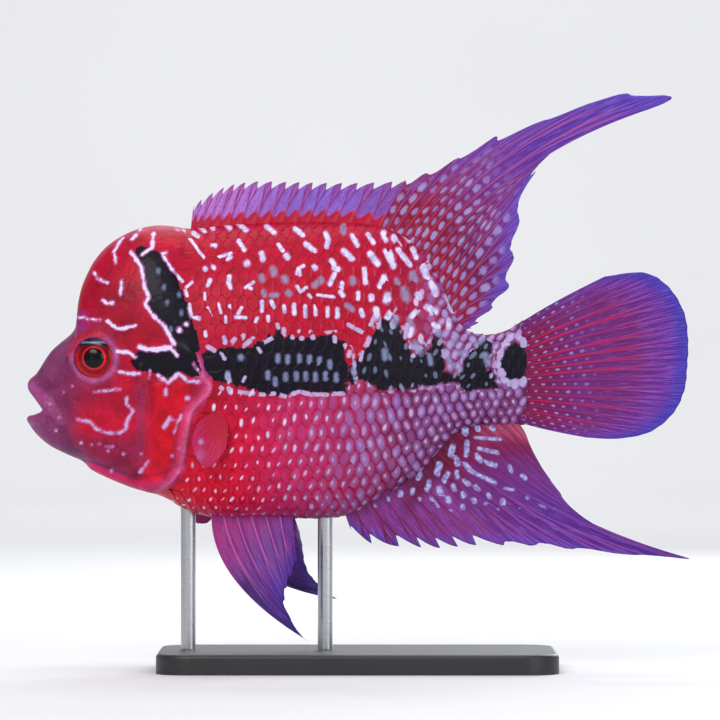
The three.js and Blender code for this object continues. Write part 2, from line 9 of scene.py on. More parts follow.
import bpy
import numpy as np
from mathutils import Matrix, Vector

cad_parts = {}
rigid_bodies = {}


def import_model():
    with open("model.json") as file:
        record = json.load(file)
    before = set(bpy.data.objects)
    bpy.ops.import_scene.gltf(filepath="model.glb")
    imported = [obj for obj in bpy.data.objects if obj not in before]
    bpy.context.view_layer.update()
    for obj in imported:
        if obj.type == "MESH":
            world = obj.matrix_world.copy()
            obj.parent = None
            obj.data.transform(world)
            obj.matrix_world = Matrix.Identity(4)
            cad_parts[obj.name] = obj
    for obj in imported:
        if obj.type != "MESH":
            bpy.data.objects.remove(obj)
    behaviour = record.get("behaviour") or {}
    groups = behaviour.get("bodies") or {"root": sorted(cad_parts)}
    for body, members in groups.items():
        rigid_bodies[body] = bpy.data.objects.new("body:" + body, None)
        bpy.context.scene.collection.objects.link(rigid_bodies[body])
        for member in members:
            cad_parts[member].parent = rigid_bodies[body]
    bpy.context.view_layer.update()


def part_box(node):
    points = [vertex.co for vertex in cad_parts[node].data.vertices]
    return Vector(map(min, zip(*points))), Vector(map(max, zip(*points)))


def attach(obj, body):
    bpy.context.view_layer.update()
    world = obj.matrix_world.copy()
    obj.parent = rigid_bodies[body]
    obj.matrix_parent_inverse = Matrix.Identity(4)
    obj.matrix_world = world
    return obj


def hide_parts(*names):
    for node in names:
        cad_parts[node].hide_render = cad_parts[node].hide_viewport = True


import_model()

MM = 0.001
SEED = 20318

# Body outlines, as in the CAD model
SNOUT_X, TAIL_ROOT_X = -133.0, 68.0
TOP_LINE = [
    (-133, 113.2), (-132.4, 115.6), (-131.2, 117.2), (-129.6, 118.2), (-123, 128), (-113.6, 136.6),
    (-112.7, 141), (-112.1, 147.5), (-110.8, 153.5), (-109, 158), (-105.6, 164.4), (-100, 170.6),
    (-91, 176), (-81.8, 178.4), (-75.8, 178.3), (-67, 177.2), (-51, 178.6), (-31, 179.8),
    (-11, 179.8), (9, 178.2), (21, 172.4), (31, 160.4), (37, 147), (41.8, 138), (46.5, 135.2),
    (54.6, 134.8), (60.5, 136.6), (65, 139.4), (68, 141.4),
]
BOTTOM_LINE = [
    (-133, 101.6), (-131.2, 97.4), (-128.4, 94), (-123.6, 90), (-115.6, 86), (-110.2, 83.6),
    (-107, 80.4), (-99, 76.4), (-89.8, 72.8), (-83, 71), (-77, 69), (-71.4, 65.8), (-65, 63),
    (-59.4, 61.7), (-39, 61.3), (-5, 62), (7, 68), (17, 73.8), (27, 81.2), (33, 88.4), (39, 95),
    (45, 97.7), (56, 98.2), (68, 98.1),
]
HALF_WIDTH = [
    (-133, 2.6), (-132, 4.8), (-130, 7), (-126, 9.8), (-120, 13.2), (-113, 16.4), (-105, 19.2),
    (-95, 22), (-85, 24.5), (-75, 26.3), (-65, 27), (-50, 27), (-30, 25.6), (-10, 22.4), (5, 18.6),
    (18, 14.6), (30, 11), (40, 8.8), (50, 7.2), (60, 5.6), (65, 4.6), (68, 3.8),
]
WIDEST_HEIGHT = [
    (-133, 107.5), (-124, 108), (-110, 112), (-80, 116), (-40, 118), (0, 120), (40, 118),
    (68, 119.5),
]
UPPER_FULLNESS = [(-133, 2.1), (-118, 2.2), (-104, 2.7), (-84, 2.7), (-62, 2), (68, 1.85)]
LOWER_FULLNESS = [(-133, 2.1), (-100, 2.3), (-40, 2.4), (10, 2), (68, 2)]
HEAD_LINE = [
    (-69, 180), (-70, 166), (-72.6, 158), (-68, 146), (-63.5, 130), (-59.5, 119.4), (-57.7, 113),
    (-61.2, 105), (-64.6, 95), (-68, 84), (-74.5, 75.5), (-84, 66),
]

# Mouth, lips, eye and head plates
MOUTH_OPENING = [
    (-142, 119), (-133.6, 115.4), (-130, 111.7), (-126.3, 106.6), (-125.6, 104.3), (-127.6, 103.2),
    (-133.4, 101.2), (-142, 98),
]
LIP_RADIUS = 1.9
UPPER_LIP = [(-124.6, 10.4, 105.6), (-127.2, 8.6, 109.2), (-130, 4.8, 112.6), (-130.7, 0, 113.6)]
LOWER_LIP = [(-124.2, 10.4, 101.2), (-127.2, 8.4, 100.6), (-130.2, 4.6, 100.4), (-131, 0, 100.5)]
LIP_LINE = [(-132, 114.5), (-128, 109.5), (-125, 104.5), (-132, 100)]
EYE_X, EYE_Z = -105.0, 125.2
EYE_RADIUS, EYE_DEPTH_RADIUS, EYE_SINK, EYE_YAW = 8.7, 5.9, 2.4, 0.2
SOCKET_RADIUS, SOCKET_RIM = 9.0, 0.95
PUPIL_SHIFT = 0.6
OPERCLE_EDGE = [
    (-67.8, 132.4), (-63.4, 125.2), (-60.6, 118), (-57.8, 114.4), (-58.2, 112), (-61, 108.4),
    (-65, 103.6), (-67, 94), (-69, 83.6), (-72.6, 77.2), (-79, 72.4),
]
PREOPERCLE_LINE = [(-83.8, 121.2), (-82.6, 108.4), (-82.6, 92.4), (-83.8, 83.6), (-87.8, 80)]
LOWER_CHEEK_LINE = [(-109.4, 84), (-103, 82), (-95, 79.2), (-87, 77.6), (-79.8, 78), (-71.8, 81.2)]
GILL_FOLD = [
    (-109.4, 83.6), (-104.2, 82), (-98.2, 79.6), (-89.8, 76.8), (-83, 76), (-74.2, 78),
    (-68.6, 83.2), (-66.2, 80.4), (-70.2, 74.8), (-76.6, 72.4), (-83, 70.4), (-89.8, 72),
    (-99, 75.6), (-107, 80),
]
MAXILLA = [
    (-125.8, 111.6), (-122.2, 109.2), (-119, 104.4), (-117, 99.6), (-117.4, 97.6), (-120.2, 98.8),
    (-123, 102.8), (-125.8, 105.2),
]
NOSTRIL = (-116.6, 124.4)
OPERCLE_PLATE = [
    (-81, 114.8), (-74.2, 117.2), (-67, 114.8), (-65.8, 104.4), (-67.8, 94), (-70.2, 83.6),
    (-77, 80.4), (-81, 81.2),
]

# Black marks
DARK_SHAPES = [
    [(-89, 168.4), (-85.8, 161.6), (-84.6, 155.2), (-83, 149.6), (-83.8, 146), (-79.8, 141.2),
     (-75.8, 137.2), (-72.2, 129.2), (-62.6, 126.8), (-63.4, 136.4), (-66.2, 143.6), (-68.2, 151.6),
     (-70.2, 156.4), (-74.2, 160.4), (-77.8, 166.8), (-83, 169.2), (-86.6, 170)],
    [(-90.6, 123.6), (-87, 128.4), (-81, 127.6), (-74.2, 129.6), (-70.2, 130.8), (-64.6, 129.2),
     (-61.4, 118), (-66.2, 117.6), (-70.6, 120), (-74.2, 116), (-79, 118.8), (-83, 119.6),
     (-87.8, 120.4)],
    [(-61.8, 127.6), (-53.4, 129.6), (-42.6, 129.6), (-37, 132.4), (-33.4, 134.8), (-32.2, 138.4),
     (-29.4, 134), (-22.2, 132.8), (-9.8, 133.6), (-4.6, 131.6), (-4.2, 112), (-22.2, 112),
     (-32.2, 110.8), (-44.2, 112.4), (-47.8, 114), (-52.6, 116), (-57.4, 117.2), (-60.6, 120.4)],
    [(-3.8, 118.8), (1.8, 128.4), (5.4, 132.8), (8.2, 140), (13, 141.6), (17.4, 138), (19.4, 131.2),
     (21.4, 125.6), (25.4, 130.8), (27.8, 125.6), (30.2, 136), (33, 133.6), (34.6, 119.6),
     (40.2, 118.4), (41.8, 124.4), (47.4, 130), (51.4, 132.8), (54.2, 131.2), (53.8, 125.2),
     (51.8, 121.6), (55.8, 114), (42.6, 112.4), (39.8, 116), (27.4, 113.6), (19.4, 113.2),
     (7.4, 113.2), (1.8, 116), (-3.8, 114)],
]
OCELLUS, OCELLUS_RADII = (62.8, 124), (5.3, 7.8)

# Pale strokes on the head, each with half of its width
PALE_STROKES = [
    (0.95, [(-81.5, 174.9), (-81.9, 169.2)]), (0.8, [(-81.9, 169.2), (-86, 166.4)]),
    (0.85, [(-93.8, 173.3), (-97.4, 168), (-96.5, 163.5)]), (0.9, [(-90.1, 172.7), (-88.3, 174.4)]),
    (0.7, [(-87.4, 176.4), (-86.8, 176.6)]), (0.85, [(-105.2, 159.4), (-104, 157), (-99.9, 155.3)]),
    (0.8, [(-93.9, 156.2), (-94.4, 150.4)]),
    (0.9, [(-101.4, 148.4), (-99.9, 146.9), (-97.3, 147.2)]),
    (0.7, [(-111.7, 141.5), (-108.1, 141), (-102.4, 140.2)]),
    (0.9, [(-99.5, 139.8), (-95.8, 137), (-92.6, 137), (-88.1, 138.2)]),
    (0.95, [(-90.5, 167.6), (-86, 161.5), (-85.2, 155.8), (-83.2, 149.2), (-84.4, 146.4),
            (-81.1, 141.9), (-76.6, 137.8), (-74.6, 133.7), (-72.6, 130.4)]),
    (0.85, [(-77.8, 166.8), (-74.2, 161), (-69.7, 155.8), (-67.6, 150)]),
    (0.7, [(-68.1, 153.3), (-65.8, 155.3)]), (0.8, [(-77.8, 166.8), (-76, 167.4)]),
    (0.85, [(-66.8, 146.4), (-66, 141.9), (-63.2, 141)]),
    (0.55, [(-73, 177), (-69.3, 176.2), (-66, 171.7), (-63.2, 167.6), (-60.7, 164.7)]),
    (1.2, [(-68.1, 138.6), (-68, 138.4)]), (1.3, [(-70.8, 136.6), (-70.7, 136.3)]),
    (1.25, [(-86.8, 129.8), (-83.4, 128.6), (-79.5, 128.4), (-74.2, 129.6)]),
    (1.0, [(-74.2, 129.6), (-71.7, 126.4)]), (0.85, [(-95.8, 128), (-90.9, 127.3), (-88.5, 125.6)]),
    (0.75, [(-94.8, 119.8), (-91.7, 119)]), (0.95, [(-91.7, 119), (-86.8, 119)]),
    (1.0, [(-79.1, 118.2), (-75, 115.3), (-70.9, 119), (-67.2, 115.8), (-63.2, 115.8)]),
    (0.45, [(-65.2, 123.1), (-62.4, 119)]), (0.6, [(-104.8, 111.7), (-99.9, 112.1), (-94.2, 112.9)]),
    (0.8, [(-91.7, 109.6), (-91.7, 106.8), (-89.3, 103.9), (-91.7, 100.2), (-92.2, 97), (-94.6, 95.3),
           (-99.9, 95.3), (-103.6, 96.6), (-106.8, 99.8), (-111.7, 100.6)]),
    (0.95, [(-76.1, 112.6), (-76.1, 111)]), (1.2, [(-67.5, 109.4), (-67.4, 109.2)]),
    (1.05, [(-74.6, 101.5), (-76.6, 97.8)]), (0.7, [(-74.6, 101.5), (-73.1, 100.6)]),
    (0.6, [(-69.7, 102.7), (-71.8, 98.8), (-72.6, 95.6)]), (0.85, [(-83.6, 83.9), (-86.8, 79.8)]),
    (0.5, [(-100.7, 89.9), (-97.4, 89.9)]), (0.5, [(-82.4, 120.4), (-82.8, 117)]),
]
PALE_DOTS = [
    (-113.9, 114.1), (-117.2, 111.5), (-122.4, 106.8), (-118.8, 101.5), (-120.6, 96.3),
    (-110.5, 91.2), (-106, 90.7), (-103, 90.8), (-99.6, 87.8), (-93.2, 86.8), (-98.4, 80),
    (-85.8, 87.2), (-70.6, 89.6), (-73.4, 86.4),
]
PALE_DOT_RADIUS = 0.75
HEAD_GLINTS = [
    (-77, 153.3), (-70.9, 150.4), (-75.6, 147.2), (-69.9, 143.1), (-79.2, 159.8), (-74.2, 136.4),
]
GLINT_HEIGHT = 1.5

# Marks of the scaled flank: both ends of each in the side view, and half of its width
BRIGHT_MARKS = [
    (-65.8, 175.4, -63.8, 173.9, 0.84), (-63.6, 177.9, -61.3, 175.9, 0.84),
    (-59.5, 179.8, -57.9, 176.9, 0.93), (-53.6, 179.8, -51.1, 177.1, 1.01),
    (-47.7, 178.9, -44.6, 176.4, 1.01), (-36.5, 177.9, -33.4, 175.4, 1.01),
    (-24.9, 176.9, -21.9, 174.4, 1.01), (-12.7, 175.1, -11.7, 172.5, 1.01),
    (-11.7, 172.5, -12.4, 169.8, 1.01), (-2.2, 174.2, -0, 170.3, 1.01),
    (4.1, 174.7, 6.3, 171.2, 0.93), (10, 175.1, 11.4, 172.2, 0.93), (14.4, 173.9, 16.8, 170, 0.93),
    (18.4, 174.9, 20.6, 172, 0.84), (-47.4, 171.9, -45.1, 168.3, 0.93),
    (-20.6, 170.7, -17.3, 168.1, 1.09), (-31.7, 170.5, -29.9, 168.1, 0.84),
    (-28.5, 166.1, -27.9, 165.3, 1.18), (-57.9, 170.1, -57, 170.1, 1.01),
    (-5.5, 168.1, -2.3, 164.8, 1.18), (5, 166.9, 8, 162.8, 1.26), (11.3, 167.8, 14.3, 161.9, 1.18),
    (16.3, 168.1, 21, 162.3, 0.93), (21.8, 168.7, 23.6, 165.3, 0.93),
    (25.2, 176.2, 25.8, 173.2, 1.26), (26, 169.8, 28.4, 165.6, 1.09), (26, 162.8, 27.9, 157.4, 1.18),
    (29.4, 155.2, 31.1, 150.6, 1.18), (-55.7, 165.3, -53.1, 166.1, 0.67),
    (-53.1, 166.1, -50.5, 167.1, 0.67), (-51.8, 164.8, -50.8, 165.6, 1.01),
    (-38.3, 166.9, -37.7, 164.4, 1.09), (-44.1, 162.9, -44.1, 162.8, 1.35),
    (-10.4, 164.1, -9.1, 161.1, 1.09), (-8.9, 160.9, -8, 160.7, 1.26),
    (-17.3, 161.2, -17.1, 161.1, 1.26), (-24, 158.9, -23.5, 160.9, 0.76),
    (-23.5, 160.9, -21.5, 161.9, 0.76), (-23.3, 160.4, -22.8, 158.2, 0.67),
    (2.8, 160.6, 3.1, 155.3, 1.01), (10.5, 157.7, 8.8, 153.7, 1.01),
    (-60.7, 160.7, -60.6, 160.5, 1.01), (-57.5, 161.3, -57.4, 161.1, 1.09),
    (-58.7, 156.2, -59.5, 154.2, 0.84), (-51.1, 157.7, -51.3, 155.3, 0.93),
    (-51.3, 155.3, -50.6, 153.2, 0.93), (-44.6, 153.2, -41.5, 155.3, 0.67),
    (-43, 153, -42.2, 152.7, 0.67), (-9.1, 158.9, -11, 154.7, 0.93),
    (-60.7, 151.1, -60.7, 148.4, 0.55), (-24.1, 153.8, -22.8, 151.5, 0.67),
    (-22.8, 151.5, -20.3, 153.2, 0.67), (-15.8, 150.3, -9.4, 149.5, 0.63),
    (-6.2, 155, -6.8, 151.5, 0.93), (-6.8, 151.5, -5.7, 150.1, 0.93), (0.2, 151.1, 0.2, 148.8, 0.84),
    (5.4, 149.6, 5.5, 148.8, 1.18), (11.9, 150.1, 11.2, 148.1, 1.18),
    (24.5, 150.3, 24.7, 149.3, 1.01), (-59.5, 145.1, -58.2, 142, 0.59),
    (-55.3, 146.8, -54.2, 143.2, 0.59), (-50.8, 146.1, -51, 143.7, 0.59),
    (-46.1, 145.2, -47.4, 142.9, 0.67), (-38, 147.6, -38, 143.9, 0.8),
    (-34.3, 147.6, -33.4, 145.4, 0.84), (-29.3, 145.9, -28.9, 143.6, 0.76),
    (-25.3, 146.3, -25.1, 142.9, 0.88), (-20.8, 145.9, -20.8, 141.7, 0.8),
    (-16.7, 145.9, -16.6, 142.5, 0.8), (-11.9, 145.1, -11.9, 141.9, 0.8),
    (-8, 144.7, -8, 141.6, 0.88), (1.4, 144.2, 2.1, 142, 0.93), (7.3, 144.6, 7.7, 142, 1.26),
    (14.5, 145.1, 11.9, 141.4, 1.18), (21.6, 141.9, 23.7, 144, 1.09),
    (-52.5, 141.7, -52.3, 139.5, 0.59), (-48.5, 141.4, -44.4, 141.2, 0.72),
    (-39.8, 141, -40.5, 139.7, 0.67), (-35.5, 141.7, -35.5, 140, 0.76),
    (-64.6, 141.7, -63.1, 140.9, 0.93), (-68, 138.5, -67.9, 138.3, 1.18),
    (-60.4, 135.5, -60.2, 134.1, 0.72), (-19.5, 150.3, -18.6, 149.3, 0.63),
    (28.8, 145.2, 29.6, 142.7, 0.67), (21.6, 136.8, 20.8, 134.3, 1.09),
    (30.5, 138.5, 32.2, 137.7, 1.09), (-73, 176.8, -69.5, 176.2, 0.57),
    (-69.5, 176.2, -66, 171.7, 0.57), (-66, 171.7, -63.2, 167.6, 0.57),
    (-63.2, 167.6, -60.7, 164.7, 0.57), (-60.7, 164.7, -57.9, 161.3, 0.57),
    (-60.7, 160.7, -60.6, 160.6, 0.98), (-77.9, 166.8, -74.2, 161.1, 0.65),
    (-74.2, 161.1, -69.7, 155.7, 0.65), (-69.7, 155.7, -67.7, 150, 0.65),
    (-68.1, 153.3, -65.8, 155.3, 0.61), (-66.8, 146.6, -66, 142, 0.65), (-66, 142, -63, 141.1, 0.65),
    (-68.1, 138.7, -68.1, 138.4, 1.22), (-70.8, 136.6, -70.7, 136.4, 1.22),
    (-64.6, 141.9, -63.2, 140.9, 0.82), (10.4, 175.3, 10.7, 173.5, 1.19),
    (12.5, 168, 14.3, 162.2, 1.19), (16.2, 168.6, 20.8, 162.6, 1.01),
    (21.9, 168.9, 23.5, 165.5, 1.01), (25.3, 162.9, 27.5, 157.9, 1.19),
    (25.7, 168.3, 28.8, 162.9, 0.92), (30.3, 155.1, 30.9, 151.5, 1.29),
    (35.2, 154.7, 37, 150.1, 0.92), (35.8, 150.5, 38, 144, 1.1), (40.2, 151.5, 41.7, 146.6, 1.1),
    (42.2, 140.9, 41.7, 138.7, 1.29), (36.5, 140.4, 36.2, 137.2, 1.01),
    (32.4, 160.2, 34.3, 156.5, 1.01), (30.6, 164.8, 33.1, 160.2, 0.92),
    (24.2, 150.3, 24.4, 149.5, 1.38), (28.8, 144.9, 30.7, 143.7, 1.38),
    (10.7, 157.4, 11, 155.6, 1.1), (11.8, 150.1, 12.3, 148.7, 1.19), (14.5, 173, 16.2, 170.7, 1.19),
    (27.8, 173, 29.7, 170.3, 0.92),
]
BORDER_MARKS = [
    (-61.9, 130.5, -61.6, 129.1, 0.84), (-59.4, 129.7, -56.9, 128.2, 0.93),
    (-54.3, 128, -52.8, 125, 0.84), (-52.9, 133.3, -52.6, 131.4, 0.93),
    (-51.1, 128.6, -49.9, 127.4, 1.09), (-48.7, 132.8, -50.6, 130.8, 0.93),
    (-45.3, 134.1, -44.7, 132.3, 0.93), (-41.5, 132.9, -45.3, 129.9, 0.93),
    (-37.7, 131.1, -33.5, 133.3, 0.93), (-39.5, 129.1, -38.5, 127.6, 0.76),
    (-29.3, 136.7, -29.3, 134.5, 0.93), (-25.9, 133.5, -25.9, 133.3, 1.01),
    (-23.2, 135.8, -23.1, 135.6, 0.84), (-22.2, 133, -22.1, 132.9, 1.01),
    (-18.8, 135.6, -18.7, 135.5, 0.84), (-17.8, 133.5, -17.7, 133.3, 1.09),
    (-13.7, 135.1, -8.7, 135.8, 0.67), (-9.1, 133.5, -9, 131.9, 0.93),
    (-4.9, 130.3, -4.5, 129.1, 0.84), (-3.6, 138.5, -0.6, 136.7, 0.84),
    (-0.6, 136.7, 2.9, 135, 0.84), (4.8, 133.3, 3.6, 130.4, 1.01), (-0.6, 127.6, 1.9, 127.6, 0.76),
    (1.9, 127.6, 1.1, 124.4, 0.76), (-3.1, 127.6, -3.6, 125.9, 0.84),
    (-51.5, 118.3, -50.8, 115.9, 1.09), (-51.1, 113.2, -50.4, 111.7, 0.93),
    (-49.1, 115.1, -47.3, 114.1, 0.84), (-45.7, 115.8, -44.7, 117.5, 0.76),
    (-54.2, 113.4, -53.8, 113.1, 0.84), (-47, 111.7, -41.5, 111.1, 0.84),
    (-41.5, 111.1, -37.3, 110.7, 0.84), (-37.3, 110.7, -33.1, 111.1, 0.84),
    (-33.1, 111.1, -28.9, 109.9, 0.84), (-28.9, 109.9, -23, 111.9, 0.84),
    (-23, 111.9, -18.8, 110.7, 0.84), (-18.8, 110.7, -12.1, 110.7, 0.84),
    (-12.1, 110.7, -5.7, 111.1, 0.84), (-31.8, 138.5, -31.4, 137.2, 0.84),
    (19.9, 138.5, 19.1, 133.5, 0.93), (21.2, 129.7, 25.4, 129.2, 0.93),
    (25.4, 129.2, 22.1, 125.9, 0.93), (13.2, 140.2, 14.1, 137.7, 1.01),
    (5.2, 138.5, 6.9, 141.9, 0.84), (8.6, 141, 8.2, 137.7, 1.01), (-55.8, 117, -55.3, 116.2, 1.09),
]
DULL_MARKS = [
    (-33.6, 160.6, -33.4, 158.9, 1.43), (-38.2, 157.5, -38, 156.4, 1.26),
    (-29.1, 157, -28.7, 156, 1.35), (-14.4, 156.7, -14.4, 155.5, 1.09),
    (-1.9, 156.7, -1.9, 155.3, 1.26), (22.1, 158.3, 22.5, 156.6, 1.68),
    (-34.3, 150, -32.1, 150.3, 1.01), (-27.8, 151.3, -27.2, 150.8, 1.26),
    (-4.3, 146.3, -2.1, 144.6, 1.09), (18.7, 151.8, 19.5, 148.9, 1.52),
    (-5.6, 178.3, -5.7, 175.7, 1.18), (-17.1, 154.1, -15.8, 155.3, 1.26),
    (-37.3, 151.5, -37.1, 150.3, 1.09), (15.7, 156.2, 16.1, 154.9, 1.09),
    (11.9, 150.3, 11.4, 147.9, 1.43), (-46.4, 125.5, -46.3, 125.3, 1.26),
    (-31.6, 126, -31.6, 124, 1.01), (-27.7, 125.6, -27.7, 123.6, 1.01),
    (-23, 125.9, -23, 123.9, 1.01), (-19, 125.5, -19, 123.5, 1.01),
    (-15.1, 124.8, -15.1, 122.8, 1.01), (-11, 123.7, -11, 121.7, 1.01),
    (-35.6, 119.3, -35.6, 117.3, 1.01), (-28.5, 118.6, -28.5, 116.6, 1.01),
    (-24.3, 119, -24.3, 116.9, 1.01), (-20.6, 119, -20.6, 116.9, 1.01),
    (-16.7, 118.6, -16.7, 116.6, 1.01), (-12.7, 118.9, -12.7, 116.9, 1.01),
    (-8.5, 118.5, -8.5, 116.4, 1.01), (-32.7, 116.8, -32.7, 114.8, 1.01),
    (-51.5, 119.3, -51.5, 117.3, 1.01), (21.9, 158.8, 22.8, 156.5, 1.38),
    (18.6, 152.4, 19.1, 149.2, 1.56), (20.9, 140.4, 21.9, 135.8, 1.29),
    (22.8, 130.8, 25.1, 127.6, 1.56), (15.4, 140.9, 14.5, 138.1, 1.19),
    (32, 135.8, 33.1, 134.5, 1.29), (39.3, 134, 37.5, 130.8, 1.38), (45.7, 133.1, 47.6, 130.8, 1.19),
    (35.6, 128, 36.5, 124.4, 1.19), (51.2, 126.2, 52.2, 123.5, 1.38), (28.7, 126.2, 29.2, 123, 1.01),
    (40.7, 127.1, 43.2, 128, 1.1), (49.4, 131.7, 50.3, 132.6, 1.1), (39.3, 122.5, 40.7, 120.5, 1.29),
    (10.8, 128, 11, 125.3, 1.29),
]

# The pearly bars of the anal fin: both ends and the width
ANAL_PEARLS = [
    (43.0, 97.1, 43.3, 95.2, 2.75), (48.1, 97.8, 48.3, 96.6, 2.2), (53.6, 97.2, 54.5, 96.6, 1.84),
    (47.2, 93.2, 57.3, 92.6, 1.38), (48.6, 88.8, 56.4, 87.1, 1.56), (38.2, 89.7, 37.5, 86.5, 2.57),
    (44.0, 91.5, 43.7, 86.0, 2.11), (48.1, 86.0, 49.2, 84.2, 2.39), (51.8, 83.3, 55.4, 81.9, 2.02),
    (40.0, 84.7, 40.2, 82.4, 2.11), (43.3, 82.4, 45.3, 80.1, 2.2), (45.3, 79.8, 55.4, 75.0, 1.65),
    (61.0, 81.9, 61.9, 79.6, 1.65), (66.0, 77.8, 67.4, 76.9, 1.84), (32.9, 82.4, 32.0, 78.7, 2.57),
    (36.2, 78.7, 34.8, 75.9, 2.2), (39.8, 79.6, 40.0, 77.3, 1.84), (25.1, 79.1, 24.4, 76.9, 2.2),
    (29.0, 75.5, 27.9, 72.3, 2.02), (32.9, 72.7, 33.2, 70.9, 2.48), (38.6, 74.1, 38.9, 72.3, 2.02),
    (43.0, 75.9, 44.4, 74.6, 2.02), (47.2, 73.6, 48.6, 72.3, 1.84), (52.7, 70.4, 53.1, 69.0, 1.84),
    (58.4, 67.9, 58.4, 66.8, 2.3), (56.2, 64.5, 56.5, 64.4, 1.29), (42.4, 70.6, 42.6, 69.7, 2.2),
    (46.7, 68.4, 47.0, 67.5, 2.2), (51.6, 66.8, 52.0, 66.8, 1.47), (22.2, 72.3, 22.0, 70.9, 1.93),
    (29.7, 69.0, 30.2, 68.1, 1.65), (31.6, 67.2, 32.5, 65.4, 1.01), (36.3, 68.8, 36.6, 67.7, 2.48),
    (42.1, 65.8, 42.6, 64.9, 2.02), (37.4, 64.1, 37.6, 63.9, 1.1), (17.4, 71.2, 17.2, 70.0, 1.93),
    (24.7, 68.6, 24.9, 68.4, 1.56), (12.3, 69.0, 12.3, 68.1, 1.56), (7.1, 65.8, 7.3, 65.7, 1.38),
    (59.1, 72.7, 62.8, 72.3, 1.47), (68.2, 69.0, 68.5, 69.0, 1.84), (65.0, 64.9, 65.2, 64.8, 1.29),
    (72.9, 66.3, 75.6, 64.9, 0.92), (79.2, 64.5, 79.5, 64.4, 0.92),
]

